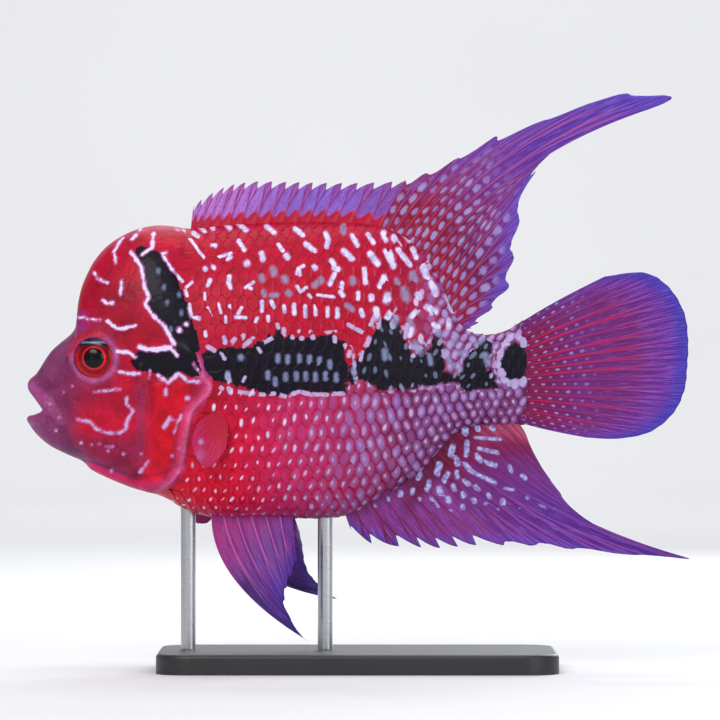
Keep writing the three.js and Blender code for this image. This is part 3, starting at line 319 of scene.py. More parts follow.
# Fins: each line runs from the root over a bend to the edge, front to rear
FIN_LINES = {
    "dorsal_fin_spiny": [
        [(-67, 176.4), (-66.6, 182), (-65.8, 186.8)], [(-61, 177.2), (-59, 185.2), (-55, 193.2)],
        [(-50.2, 178), (-47.8, 187.2), (-43.4, 196)], [(-35.8, 178.8), (-33, 187.6), (-28.6, 196)],
        [(-21.4, 179.2), (-18.6, 187.6), (-14.2, 195.6)], [(-7, 179.2), (-3.4, 187.6), (2.2, 195.6)],
        [(9.2, 177.6), (13.6, 187.2), (19.2, 196.4)],
    ],
    "dorsal_fin_soft": [
        [(9, 177.6), (13.4, 187.2), (19, 196.4)], [(13.4, 176), (20.2, 188.4), (32.6, 201.6)],
        [(17.8, 174), (29.8, 192.4), (54.2, 212.8)], [(21.4, 171.6), (41.8, 204.4), (82.6, 223.6)],
        [(24.6, 168.4), (49, 208.4), (107, 231.6)], [(27.8, 164.4), (57, 208.4), (128, 229)],
        [(30.6, 160), (57, 198), (97, 220.4)], [(33, 155.2), (51, 182.4), (79.4, 209.2)],
        [(35.4, 150), (48.2, 172.4), (68.6, 195.6)], [(37.4, 145.6), (48.2, 159.6), (63.8, 172.4)],
        [(39.4, 141.6), (48.2, 150.4), (60.6, 153.6)], [(41.4, 138), (45, 139.6), (50.6, 141.6)],
        [(42.6, 136.4), (43.8, 136.8), (46, 137.2)],
    ],
    "caudal_fin": [
        [(67.4, 140.6), (79.4, 148.4), (99.4, 158)], [(68.2, 136.4), (89, 148.4), (115, 159.6)],
        [(68.6, 131.6), (93, 143.6), (125, 154)], [(69, 126.8), (97, 136.4), (131.4, 143.6)],
        [(69, 122.4), (99, 128.4), (133, 132.4)], [(69, 118), (99, 121.2), (132.6, 122)],
        [(69, 113.2), (97, 113.2), (131.4, 112.4)], [(68.6, 108.4), (95, 106), (127, 103.2)],
        [(68.2, 104), (91, 99.6), (117.8, 95.6)], [(67.8, 100.8), (85, 95.6), (105, 92.8)],
        [(67.4, 98.6), (77, 95.8), (92.2, 93.2)],
    ],
    "anal_fin_spiny": [
        [(-5, 62.8), (-4.2, 60), (-2.6, 56)], [(-0.2, 65.2), (2.6, 58.4), (7.4, 50)],
        [(6.6, 68.8), (12.2, 60.4), (20.2, 49.6)], [(12.2, 72), (19.8, 61.2), (29.4, 48.8)],
        [(17.4, 75.2), (26.6, 62.8), (38.2, 49.2)], [(22.2, 78.4), (33, 65.2), (46.2, 50)],
        [(28, 82.5), (40.4, 67.7), (58.4, 50)],
    ],
    "anal_fin_soft": [
        [(27.8, 82.4), (40.2, 67.6), (58.2, 50)], [(30.2, 86), (47, 68.4), (75, 49.6)],
        [(32.6, 89.2), (57, 66.4), (97, 47.2)], [(35.8, 93.2), (73, 60.4), (133.4, 44.4)],
        [(39.4, 96), (69, 69.6), (113, 49.6)], [(43.4, 98), (69, 76.4), (98.2, 56)],
        [(49, 98.4), (67, 84.4), (87, 64)], [(55.4, 98.4), (67.2, 88), (80.2, 72.8)],
        [(61.4, 98.4), (67.4, 91.6), (74.6, 80.6)], [(65.4, 98.3), (68, 95), (69.4, 89.4)],
    ],
    "pelvic_fin_left": [
        [(-58.6, 62), (-58.6, 35.2), (-19.4, 12.2)], [(-52.6, 62), (-47, 37.2), (-22.8, 15.2)],
        [(-46.2, 62), (-40.6, 41.2), (-28.6, 25.6)], [(-39, 61.6), (-34.2, 46.4), (-28.6, 32)],
        [(-32.2, 61.6), (-29.4, 49.2), (-27, 37.6)], [(-26.2, 61.6), (-25.4, 52.4), (-24.2, 44.4)],
    ],
    "pelvic_fin_right": [
        [(-57.4, 62), (-50.2, 34.4), (-8.2, 27.6)], [(-51, 62), (-40.6, 39.6), (-15, 33.2)],
        [(-43.8, 61.6), (-34.2, 44.4), (-19.4, 38)], [(-36.6, 61.6), (-28.6, 49.2), (-21.4, 43.2)],
        [(-30.2, 61.2), (-25.8, 52.4), (-22.2, 48.8)], [(-25.4, 61.2), (-24.2, 57.2), (-23.4, 54.8)],
    ],
    "pectoral_fin_left": [
        [(-53.4, 105.2), (-58.2, 104.4), (-63.8, 98.8)], [(-52.6, 104), (-59.8, 99.6), (-65.8, 92)],
        [(-52.2, 102.8), (-59, 94), (-63.8, 85.2)], [(-51.8, 101.6), (-56.6, 92.4), (-60.2, 81.6)],
        [(-51.4, 100.4), (-53.8, 91.6), (-56.2, 83.6)], [(-51, 99.2), (-51.4, 94.4), (-52.2, 89.2)],
    ],
    "pectoral_fin_right": [
        [(-53.4, 105.2), (-64.6, 92.4), (-71.4, 67.6)], [(-52.6, 104), (-62.2, 88.4), (-69.8, 61.2)],
        [(-52.2, 102.8), (-59.8, 84.4), (-66.8, 58.4)], [(-51.8, 101.6), (-57.4, 82.4), (-63.2, 57.6)],
        [(-51.4, 100.4), (-54.2, 81.2), (-60.4, 58.6)], [(-51, 99.2), (-51.4, 81.2), (-57.4, 63)],
    ],
}


def srgb(red, green, blue):
    """A colour given as 0 to 255 of each, made linear."""
    return np.array([(c / 255 / 12.92) if c <= 10 else ((c / 255 + 0.055) / 1.055) ** 2.4
                     for c in (red, green, blue)])


CRIMSON = srgb(190, 5, 48)
DEEP_CRIMSON = srgb(132, 2, 34)
SCARLET = srgb(212, 3, 36)
MAUVE = srgb(122, 62, 112)
VIOLET = srgb(116, 62, 168)
PALE = srgb(222, 210, 240)
INK = srgb(8, 2, 18)


# Curves and surfaces

def smoothstep(value, low, high):
    share = np.clip((value - low) / (high - low), 0, 1)
    return share * share * (3 - 2 * share)


def near(gap, width):
    """1 where the gap is zero, falling off over the width."""
    return np.exp(-(gap / width) ** 2)


def blob(x, z, middle, radii):
    """A soft spot of the side view, 1 at its middle."""
    return near(x - middle[0], radii[0]) * near(z - middle[1], radii[1])


def layered(colour, *layers):
    """A colour at every point, with further colours laid over it by their weights."""
    for other, weight in layers:
        colour = colour + (other - colour) * weight[..., None]
    return colour


def centripetal(points, per=24):
    """Points along a centripetal Catmull-Rom curve through the given ones."""
    knots = np.asarray(points, float)
    knots = np.vstack([2 * knots[0] - knots[1], knots, 2 * knots[-1] - knots[-2]])
    share = np.linspace(0, 1, per, endpoint=False)[:, None]
    runs = []
    for i in range(1, len(knots) - 2):
        p0, p1, p2, p3 = knots[i - 1:i + 3]
        d0, d1, d2 = (max(np.linalg.norm(b - a) ** 0.5, 1e-4) for a, b in ((p0, p1), (p1, p2), (p2, p3)))
        out = ((p1 - p0) / d0 - (p2 - p0) / (d0 + d1) + (p2 - p1) / d1) * d1
        into = ((p2 - p1) / d1 - (p3 - p1) / (d1 + d2) + (p3 - p2) / d2) * d1
        runs.append(p1 + out * share + (3 * (p2 - p1) - 2 * out - into) * share ** 2
                    + (2 * (p1 - p2) + out + into) * share ** 3)
    return np.vstack(runs + [knots[-2][None]])


def height_along(points):
    line = centripetal(points)
    return functools.partial(np.interp, xp=line[:, 0], fp=line[:, 1])


top_at, bottom_at, half_width_at, widest_at, upper_fullness_at, lower_fullness_at = (
    height_along(points)
    for points in (TOP_LINE, BOTTOM_LINE, HALF_WIDTH, WIDEST_HEIGHT, UPPER_FULLNESS, LOWER_FULLNESS)
)
HALF_TURN = np.linspace(-math.pi / 2, math.pi / 2, 121)
MIDDLE = len(HALF_TURN) // 2
OPERCLE_CURVE = [tuple(point) for point in centripetal(OPERCLE_EDGE, 5)]


def section(x):
    """Half sections of the body at each x, from the belly to the back: y and z, in millimetres."""
    x = np.asarray(x, float)[:, None]
    upper = HALF_TURN[None, :] > 0
    middle = widest_at(x)
    reach = np.where(upper, top_at(x) - middle, middle - bottom_at(x))
    power = 2 / np.where(upper, upper_fullness_at(x), lower_fullness_at(x))
    y = half_width_at(x) * np.abs(np.cos(HALF_TURN)) ** power
    z = middle + reach * np.sign(np.sin(HALF_TURN)) * np.abs(np.sin(HALF_TURN)) ** power
    return y, z


def on_body(x, arc):
    """Points of the body's side at each x, arc millimetres up the skin from its widest height."""
    y, z = section(x)
    along = np.concatenate([np.zeros((len(x), 1)), np.hypot(np.diff(y), np.diff(z)).cumsum(1)], 1)
    along -= along[:, MIDDLE:MIDDLE + 1]
    after = np.clip((along < arc[:, None]).sum(1), 1, len(HALF_TURN) - 1)
    rows = np.arange(len(x))
    low, high = along[rows, after - 1], along[rows, after]
    share = np.clip((arc - low) / np.maximum(high - low, 1e-6), 0, 1)
    y, z = (values[rows, after - 1] * (1 - share) + values[rows, after] * share for values in (y, z))
    return np.stack([x, y, z], 1)


def body_arcs(x):
    """How far the skin reaches down to the belly (negative) and up to the back at each x."""
    y, z = section(x)
    steps = np.hypot(np.diff(y), np.diff(z))
    return -steps[:, :MIDDLE].sum(1), steps[:, MIDDLE:].sum(1)


def body_normals(x, arc):
    step = 0.3
    ahead = on_body(x + step, arc) - on_body(x - step, arc)
    up = on_body(x, arc + step) - on_body(x, arc - step)
    normal = np.cross(up, ahead)
    normal /= np.maximum(np.linalg.norm(normal, axis=1, keepdims=True), 1e-9)
    return np.where(normal[:, 1:2] < 0, -normal, normal)


def side_at(x, z):
    """Half of the body's width at points of its side view."""
    middle = widest_at(x)
    upper = z > middle
    reach = np.where(upper, top_at(x) - middle, middle - bottom_at(x))
    fullness = np.where(upper, upper_fullness_at(x), lower_fullness_at(x))
    share = np.clip(np.abs(z - middle) / reach, 0, 1)
    return half_width_at(x) * (1 - share ** fullness) ** (1 / fullness)


def distance_to(x, z, line):
    """Distance of points of the side view to a line of points."""
    best = np.full(np.shape(x), 1e9)
    for (ax, az), (bx, bz) in zip(line[:-1], line[1:]):
        dx, dz = bx - ax, bz - az
        share = np.clip(((x - ax) * dx + (z - az) * dz) / max(dx * dx + dz * dz, 1e-9), 0, 1)
        best = np.minimum(best, np.hypot(x - ax - share * dx, z - az - share * dz))
    return best


def depth_in(x, z, outline):
    """Signed distance into a closed outline of the side view, negative outside it."""
    closed = list(outline) + [outline[0]]
    inside = np.zeros(np.shape(x), bool)
    for (ax, az), (bx, bz) in zip(closed[:-1], closed[1:]):
        crosses = (az > z) != (bz > z)
        inside ^= crosses & (x < (bx - ax) * (z - az) / (bz - az if bz != az else 1e-9) + ax)
    gap = distance_to(x, z, closed)
    return np.where(inside, gap, -gap)


def opercle_gap(x, z):
    """How far a point lies from the rear edge of the gill cover."""
    return distance_to(x, z, OPERCLE_CURVE)


def behind_head(x, z):
    """How far a point lies behind the line where the head ends."""
    line = np.array(HEAD_LINE)[::-1]
    return x - np.interp(z, line[:, 1], line[:, 0])


# Marks and colours of the body

def ocellus_reach(x, z):
    """How far a point lies from the middle of the tail's spot, 1 on the spot's edge."""
    return np.hypot((x - OCELLUS[0]) / OCELLUS_RADII[0], (z - OCELLUS[1]) / OCELLUS_RADII[1])


def dark_depth(x, z):
    """How far inside the black marks a point lies, negative outside them."""
    shapes = [depth_in(x, z, shape) for shape in DARK_SHAPES]
    return np.maximum.reduce([*shapes, (1 - ocellus_reach(x, z)) * min(OCELLUS_RADII)])


def pale_depth(x, z):
    strokes = [half - distance_to(x, z, line) for half, line in PALE_STROKES]
    dots = [PALE_DOT_RADIUS - np.hypot(x - dot_x, z - dot_z) for dot_x, dot_z in PALE_DOTS]
    return np.maximum.reduce(strokes + dots)


def glint_depth(x, z):
    return np.maximum.reduce([GLINT_HEIGHT - np.hypot((x - dot_x) * GLINT_HEIGHT, z - dot_z)
                              for dot_x, dot_z in HEAD_GLINTS])


def body_tint(x, z):
    """The body's colour without its marks, with painted shade and painted highlights on the head."""
    eye_gap = np.hypot(x - EYE_X, z - EYE_Z)
    low_rear = smoothstep(x, -28, 30) * smoothstep(z, 121, 112)
    fold = smoothstep(depth_in(x, z, GILL_FOLD), -0.4, 0.6)
    # A paler pink line along the lower edge of the raised gill membrane fold is a painted highlight.
    fold_highlight = near(distance_to(x, z, GILL_FOLD[9:] + GILL_FOLD[:1]), 1.6) * fold
    shaded = blob(x, z, (-90, 138), (12, 7)) + blob(x, z, (-98, 150), (10, 7))
    flank = smoothstep(z, 116, 108) * smoothstep(x, -58, -24) * smoothstep(x, 26, 0)
    snout = smoothstep(x, -108, -118) * smoothstep(z, 141, 134)
    cheek_rear = smoothstep(z, 99, 90) * smoothstep(x, -82, -90)
    strip = near(x + 86, 2.4) * smoothstep(z, 80, 88) * smoothstep(z, 120, 112)
    jaw = smoothstep(z - bottom_at(x), 9, 2) * smoothstep(x, -84, -104)
    brow = near(x + 111, 3.4) * smoothstep(z, 146, 142) * smoothstep(z, 132, 139)
    cover = smoothstep(depth_in(x, z, OPERCLE_PLATE), -1.5, 1.5)
    cover_shade = near(opercle_gap(x + 4.6, z), 0.8) * smoothstep(z, 116, 110)
    lip_gap = distance_to(x, z, LIP_LINE)
    tail_root = smoothstep(x, 28, 44) * smoothstep(z, 100, 112)
    lid = near(eye_gap - 9.6, 1.2) * smoothstep(z - EYE_Z + 0.5 * (EYE_X - x), 4.5, 8)
    # The lighter pink along the top edge of the head is a painted highlight, where light falls on the crown.
    crown_highlight = smoothstep(top_at(x) - z, 4, 0) * smoothstep(x, -70, -80) * smoothstep(z, 150, 160)
    return layered(
        CRIMSON,
        (DEEP_CRIMSON, 0.55 * np.clip(shaded, 0, 1)),
        (srgb(232, 6, 52), 0.9 * smoothstep(x, -10, -52) * smoothstep(z, 112, 92)),
        (srgb(212, 36, 112), 0.55 * flank),
        (srgb(118, 58, 156), 0.8 * blob(x, z, (-60.5, 121.5), (3.2, 5))),
        (srgb(150, 52, 92), 0.6 * near(eye_gap - 9, 5) * smoothstep(x, -90, -100)),
        (MAUVE, 0.9 * snout),
        (srgb(142, 44, 88), 0.65 * blob(x, z, (-113, 112), (9, 9))),
        (srgb(186, 14, 56), 0.5 * blob(x, z, (-95, 104), (14, 12))),
        (srgb(128, 28, 78), 0.75 * cheek_rear),
        (srgb(150, 56, 100), 0.6 * strip),
        (srgb(126, 62, 118), 0.8 * jaw),
        (srgb(150, 64, 124), 0.8 * smoothstep(x, -116, -127) * smoothstep(z, 101, 95)),
        (VIOLET, 0.45 * brow),
        (SCARLET, 0.9 * cover),
        (srgb(220, 32, 100), 0.95 * fold),
        (srgb(236, 116, 168), 0.7 * fold_highlight),
        (srgb(120, 6, 40), 0.5 * cover_shade),
        (srgb(222, 76, 134), 0.85 * near(opercle_gap(x + 1.5, z), 2.3)),
        # The thin paler line just inside the gill cover's raised rim is a painted highlight.
        (srgb(236, 136, 176), 0.55 * near(opercle_gap(x + 0.9, z), 0.7)),
        (srgb(176, 88, 140), 0.5 * smoothstep(depth_in(x, z, MAXILLA), -0.8, 1.2)),
        (srgb(176, 84, 146), 0.85 * near(lip_gap, 3.6)),
        (srgb(118, 30, 92), 0.85 * low_rear),
        (srgb(96, 34, 92), 0.6 * low_rear * smoothstep(x, 0, 40)),
        (srgb(146, 20, 80), 0.75 * smoothstep(x, -4, 40) * smoothstep(z, 112, 124)),
        (srgb(118, 50, 104), 0.8 * tail_root),
        (srgb(190, 104, 170), 0.85 * near(eye_gap - 9, 1)),
        (SCARLET, 0.9 * lid),
        (srgb(196, 74, 134), 0.6 * smoothstep(z, 67, 62)),
        (srgb(214, 96, 140), 0.4 * crown_highlight),
    )


# Shaders

class Value:
    """An output of a shader's node. Arithmetic on it adds the nodes that work it out."""

    def __init__(self, look, socket):
        self.look, self.socket = look, socket

    def __add__(self, other):
        return self.look.math("ADD", self, other)

    def __sub__(self, other):
        return self.look.math("SUBTRACT", self, other)

    def __rsub__(self, other):
        return self.look.math("SUBTRACT", other, self)

    def __mul__(self, other):
        return self.look.math("MULTIPLY", self, other)

    def __truediv__(self, other):
        return self.look.math("DIVIDE", self, other)

    def __abs__(self):
        return self.look.math("ABSOLUTE", self)


class Shader:
    """A node material with short ways to add its nodes."""

    def __init__(self, name, **settings):
        self.material = bpy.data.materials.new(name)
        self.material.use_nodes = True
        self.tree = self.material.node_tree
        self.surface = self.tree.nodes["Principled BSDF"]
        for socket, value in settings.items():
            self.set(socket.replace("_", " "), value)

    def set(self, socket, value):
        self.put(self.surface.inputs[socket], value)

    def put(self, socket, value):
        if isinstance(value, Value):
            self.tree.links.new(value.socket, socket)
        elif isinstance(value, np.ndarray):
            socket.default_value = (*value, 1)
        else:
            socket.default_value = value

    def node(self, kind, inputs, output=0, **settings):
        node = self.tree.nodes.new("ShaderNode" + kind)
        for name, value in settings.items():
            setattr(node, name, value)
        for key, value in dict(inputs).items():
            self.put(node.inputs[key], value)
        return Value(self, node.outputs[output])

    def math(self, operation, *values):
        return self.node("Math", enumerate(values), operation=operation)

    def most(self, one, other):
        return self.math("MAXIMUM", one, other)

    def length(self, one, other):
        return self.math("SQRT", one * one + other * other)

    def step(self, value, low, high):
        inputs = {"Value": value, "From Min": low, "From Max": high}
        return self.node("MapRange", inputs, interpolation_type="SMOOTHSTEP")

    def mix(self, factor, below, above, blend="MIX"):
        return self.node("Mix", {0: factor, 6: below, 7: above}, 2, data_type="RGBA", blend_type=blend)

    def tinted(self, colour, by):
        return self.mix(1.0, colour, by, "MULTIPLY")

    def attribute(self, name, output="Fac"):
        return self.node("Attribute", (), output, attribute_type="GEOMETRY", attribute_name=name)

    def split(self, vector):
        outputs = self.node("SeparateXYZ", {0: vector}).socket.node.outputs
        return [Value(self, socket) for socket in outputs]

    def parts(self, name):
        """The three numbers of a vector that each point carries."""
        return self.split(self.attribute(name, "Vector"))

    def pair(self, first, second):
        return self.node("CombineXYZ", {0: first, 1: second})

    def place(self):
        return self.node("TexCoord", (), "Object")

    def noise(self, scale, detail=3.0, roughness=0.5, place=None):
        inputs = {"Vector": place or self.place(), "Scale": scale, "Detail": detail, "Roughness": roughness}
        return self.node("TexNoise", inputs)

    def uneven(self, scale, detail, amount):
        """Noise centred on zero and scaled."""
        return (self.noise(scale, detail) - 0.5) * amount

    def random(self, first, second):
        return self.node("TexWhiteNoise", {"Vector": self.pair(first, second)})

    def bump(self, height, strength, distance):
        self.set("Normal", self.node("Bump", {"Height": height, "Strength": strength, "Distance": distance}))

    def rough(self, value, low, high):
        self.set("Roughness", self.node("MapRange", {"Value": value, "To Min": low, "To Max": high}))

    def colour(self, value):
        self.set("Base Color", value)
        return self.material


def soft_gloss(name):
    """A moist surface whose gloss doesn't veil its colour."""
    return Shader(name, Roughness=0.45, Specular_IOR_Level=0.14, Coat_Weight=0.06, Coat_Roughness=0.14,
                  Subsurface_Weight=0.06, Subsurface_Scale=0.0015)


def skin_material():
    look = soft_gloss("flowerhorn_skin")
    fine = look.noise(1500.0, 4.0, 0.6)
    broad = look.noise(160.0, 4.0, 0.55)
    tint = look.attribute("tint", "Color")
    mottle = look.step(broad * 0.6 + fine * 0.4, 0.28, 0.72)
    base = look.mix(mottle, look.tinted(tint, srgb(186, 150, 180)), tint)
    base = look.mix(look.step(fine, 0.58, 0.75) * 0.2, base, srgb(232, 96, 140))
    ink = look.mix(look.step(look.noise(520.0, 2.0), 0.6, 0.75) * 0.5, INK, srgb(40, 40, 84))
    glint = look.attribute("glint") + look.uneven(700.0, 2.0, 1.4)
    ink = look.mix(look.step(glint, -0.6, 1.5) * 0.8, ink, srgb(112, 132, 166))
    dark = look.attribute("dark") + look.uneven(620.0, 3.0, 1.7)
    base = look.mix(look.step(dark, -0.15, 0.25), base, ink)
    pale = look.attribute("pale") + (look.uneven(420.0, 2.0, 1.7) + look.uneven(1300.0, 2.0, 0.6))
    base = look.mix(look.step(pale, -0.4, 0.1) * 0.5, base, srgb(186, 104, 170))
    low = look.step(look.split(look.place())[2], 0.124, 0.112)
    stroke = look.mix(low * 0.75, PALE, srgb(182, 146, 196))
    base = look.mix(look.step(pale, 0.15, 0.6) * 0.92, base, stroke)
    look.bump(fine + broad * 0.6, 0.3, 0.0004)
    return look.colour(base)


def capsule(look, name, wobble):
    """How far inside the nearest mark of a group a point lies, 1 on its middle line."""
    along, across, half = look.parts(name)
    beyond = look.most(abs(along) - half, 0.0)
    return 1.0 - (look.length(beyond, across) + wobble)


def scale_material():
    look = soft_gloss("flowerhorn_scale")
    along, across, chance = look.parts("cell")
    spot, halo, band = look.parts("look")
    lean, gaps, tilt = look.parts("style")
    fine = look.noise(1700.0, 3.0, 0.6)
    broad = look.noise(240.0, 3.0, 0.6)
    patchy = look.noise(900.0, 2.0)
    wobble = look.uneven(640.0, 2.0, 0.8) + look.uneven(1500.0, 2.0, 0.4)
    shift, rise, turn, grow = (look.math("FRACT", chance * k) - 0.5 for k in (13.7, 29.3, 51.7, 7.1))
    offset = (along - (shift * 0.16 + 0.4) - across * (tilt + turn * 0.7)) / 0.13
    height = (across - rise * 0.35) / 0.25
    reach = look.length(offset, height) + wobble
    spot = spot * (grow * 0.7 + 1.0)

    tint = look.attribute("tint", "Color")
    mottle = look.step(fine * 0.5 + broad * 0.5, 0.32, 0.68)
    base = look.mix(mottle, look.tinted(tint, srgb(196, 150, 180)), tint)
    base = look.mix(look.step(along, 0.7, 0.98) * (0.3 - gaps * 0.35), base, srgb(226, 60, 116))
    edge = look.most(look.step(along, 0.16, -0.12), look.step(abs(across), 0.62, 0.98))
    base = look.mix(edge * gaps, base, look.tinted(tint, srgb(142, 76, 132)))
    lavender = look.mix(chance, srgb(154, 118, 182), srgb(136, 84, 156))
    base = look.mix(halo * look.step(reach, 4.2, 1.6), base, lavender)

    dark = look.attribute("dark") + look.uneven(560.0, 3.0, 2.2)
    ink = look.mix(look.step(along, 0.6, 1.0) * 0.5, INK, srgb(44, 34, 66))
    base = look.mix(look.step(dark, -0.2, 0.3), base, ink)
    pale = look.attribute("pale") + look.uneven(480.0, 3.0, 2.2)
    edging = look.mix(patchy, srgb(196, 184, 222), srgb(140, 116, 176))
    base = look.mix(look.step(pale, -0.1, 0.5), base, edging)
    border = look.mix(patchy, srgb(204, 184, 220), srgb(150, 124, 180))
    base = look.mix(look.step(capsule(look, "border", wobble), -0.25, 0.35), base, border)
    dull = look.most(capsule(look, "dull", wobble), capsule(look, "dull_too", wobble))
    base = look.mix(look.step(dull, -0.6, 0.8) * 0.75, base, srgb(134, 142, 184))

    dash = look.step(reach - spot * 2.3, 0.5, -0.4) * look.step(spot, 0.05, 0.2)
    dash = dash * (1.0 - look.most(halo, band) * 0.35)
    quiet = look.mix(chance, srgb(176, 160, 208), srgb(156, 116, 178))
    shine = look.mix(halo, look.mix(lean, PALE, srgb(206, 140, 190)), quiet)
    base = look.mix(dash, base, look.mix(band, shine, srgb(112, 128, 160)))
    bright = look.most(capsule(look, "bright", wobble), capsule(look, "bright_too", wobble))
    base = look.mix(look.step(bright, -0.5, 0.0), base, look.mix(0.5, base, srgb(206, 130, 190)))
    white = look.mix(look.step(look.noise(420.0, 2.0), 0.3, 0.6), srgb(170, 168, 212), srgb(216, 210, 236))
    base = look.mix(look.step(bright, -0.1, 0.4), base, white)
    ridges = look.math("SINE", (along + across * across * -0.3) * 34.0)
    look.bump(fine + ridges * 0.22, 0.25, 0.0003)
    return look.colour(base)


def fin_material(name, line, pearl_length, pearl_width, period, streak_width):
    look = Shader(name, Roughness=0.45, Specular_IOR_Level=0.16, Coat_Weight=0.06, Coat_Roughness=0.3,
                  Subsurface_Weight=0.1, Subsurface_Scale=0.0012)
    lane, share, length = look.parts("grid")
    pearl_weight, ray_weight, streak_weight = look.parts("look")
    fine = look.noise(1300.0, 3.0, 0.6)
    fibres = look.noise(1.6, 4.0, place=look.pair(lane * 7.0, length * 0.07))
    number = look.math("FLOOR", lane)
    phase = look.math("FRACT", lane) - 0.5
    from_ray = 0.5 - abs(phase)
    split_once = abs(from_ray - look.step(share, 0.3, 0.9) * 0.22)
    split_twice = abs(split_once - look.step(share, 0.55, 1.05) * 0.11)
    ray = look.step(split_twice + (fine - 0.5) * 0.03, line, line * 0.3)

    tint = look.tinted(look.attribute("tint", "Color"), srgb(214, 200, 240))
    base = look.mix(look.step(fine, 0.3, 0.7), look.tinted(tint, srgb(226, 212, 230)), tint)
    base = look.mix(look.step(fibres, 0.42, 0.66) * 0.5, base, look.tinted(tint, srgb(170, 140, 190)))
    light = look.step(fibres, 0.46, 0.3) * look.step(share, 0.15, 0.7)
    base = look.mix(light * 0.45, base, srgb(140, 116, 206))
    beside = look.step(from_ray, streak_width, streak_width * 0.4) * look.step(fibres, 0.3, 0.6)
    own = look.step(look.random(look.math("FLOOR", lane + 0.5), 3.0), 0.1, 0.7)
    base = look.mix(beside * streak_weight * own, base, look.attribute("streak", "Color"))

    bars = look.step(look.attribute("pearls") + look.uneven(620.0, 3.0, 1.1), -0.35, 0.45)
    pearly = look.mix(look.step(look.noise(700.0, 2.0), 0.35, 0.65), srgb(128, 116, 182), srgb(176, 178, 224))
    base = look.mix(bars, base, pearly)
    cell = (length + (look.math("FRACT", number * 0.5) * period + number * 0.7)) / period
    chance = look.random(number, look.math("FLOOR", cell))
    place = (look.math("FRACT", cell) - 0.5) / (pearl_length / period)
    reach = look.length(place, phase / pearl_width) + look.uneven(520.0, 2.0, 1.2)
    pearl = look.step(reach + chance * 0.35, 1.35, 0.6) * look.step(chance, 1.02, 0.8)
    shine = look.mix(chance, srgb(160, 146, 204), srgb(132, 100, 174))
    base = look.mix(pearl * pearl_weight, base, shine)
    base = look.mix(ray * (ray_weight * (1.0 - bars * 0.85)), base, look.attribute("ray", "Color"))
    joints = look.step(abs(look.math("FRACT", length * 0.9) - 0.5), 0.3, 0.5) * ray
    look.bump(fine + joints * -0.5, 0.3, 0.0003)
    return look.colour(base)


# Meshes

def mesh_piece(name, points, faces, material, smooth=True, replaces=(), slot="skin"):
    """A piece from points in millimetres, riding on the still body when it is given a slot."""
    mesh = bpy.data.meshes.new(name)
    mesh.from_pydata((np.asarray(points) * MM).tolist(), [], [list(map(int, face)) for face in faces])
    mesh.validate()
    piece = bpy.data.objects.new(name, mesh)
    bpy.context.scene.collection.objects.link(piece)
    if material:
        mesh.materials.append(material)
    mesh.polygons.foreach_set("use_smooth", [smooth] * len(mesh.polygons))
    if slot:
        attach(piece, "root")
    if replaces:
        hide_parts(*replaces)
    return piece


def give(piece, name, values):
    """A value, vector or colour at each vertex of a piece."""
    values = np.asarray(values, float)
    kind, key = ("FLOAT", "value") if values.ndim == 1 else ("FLOAT_VECTOR", "vector")
    if name in ("tint", "ray", "streak"):
        kind, key = "FLOAT_COLOR", "color"
        values = np.concatenate([values, np.ones((len(values), 1))], 1)
    piece.data.attributes.new(name, kind, "POINT").data.foreach_set(key, values.astype(np.float32).ravel())


def grid_faces(columns, rows, start=0, closed=False):
    """Quads of a grid of points, column by column."""
    last = columns if closed else columns - 1
    i, j = np.meshgrid(np.arange(last), np.arange(rows - 1), indexing="ij")
    a, b = i * rows + j, ((i + 1) % columns) * rows + j
    return start + np.stack([a, b, b + 1, a + 1], -1).reshape(-1, 4)


def grid_border(columns, rows):
    """The points round a grid's edge: up its first column, and back along its first row."""
    last = columns - 1
    border = list(range(rows)) + [i * rows + rows - 1 for i in range(1, columns)]
    border += [last * rows + j for j in range(rows - 2, -1, -1)]
    return border + [i * rows for i in range(last - 1, 0, -1)]


def ring_faces(rings, per, closed=False):
    """Quads between rings of points that follow one another."""
    return [[i * per + k, i * per + (k + 1) % per, j * per + (k + 1) % per, j * per + k]
            for i, j in ((i, (i + 1) % rings) for i in range(rings if closed else rings - 1))
            for k in range(per)]


def end_caps(rings, per):
    return [list(range(per))[::-1], [(rings - 1) * per + k for k in range(per)]]


def circle(across, up, sides):
    """Directions round a circle between two axes."""
    turn = np.linspace(0, 2 * math.pi, sides, endpoint=False)[:, None, None]
    return np.cos(turn) * across + np.sin(turn) * up


def applied(piece):
    """The piece with its modifiers baked into its mesh."""
    graph = bpy.context.evaluated_depsgraph_get()
    mesh = bpy.data.meshes.new_from_object(piece.evaluated_get(graph))
    piece.modifiers.clear()
    old = piece.data
    piece.data = mesh
    bpy.data.meshes.remove(old)
    return piece


def numbers_of(collection, key, width=3):
    numbers = np.empty(len(collection) * width, np.float32)
    collection.foreach_get(key, numbers)
    return numbers.reshape(-1, width).astype(float)


# Skin

SKIN_INSET = 0.5
VOXEL = 0.75
FINE_STEP, RING_SPACING, STEEP = 0.05, 1.6, 1.2
SOCKET_SIDES, RIM_SIDES, SOCKET_SINK = 40, 10, 0.45
THROAT_CENTRE, THROAT_RADII = (-123, 0, 104.4), (9, 5.5, 4.2)
MOUTH_CUT_HALF_WIDTH = 40
COVER_FRONT = [(-95.8, 71.6), (-95.8, 133.2)]
UNDER_LIP_LINE = [(-128.6, 110.8), (-125.4, 102.8), (-119.8, 97.2), (-116.6, 97.2)]


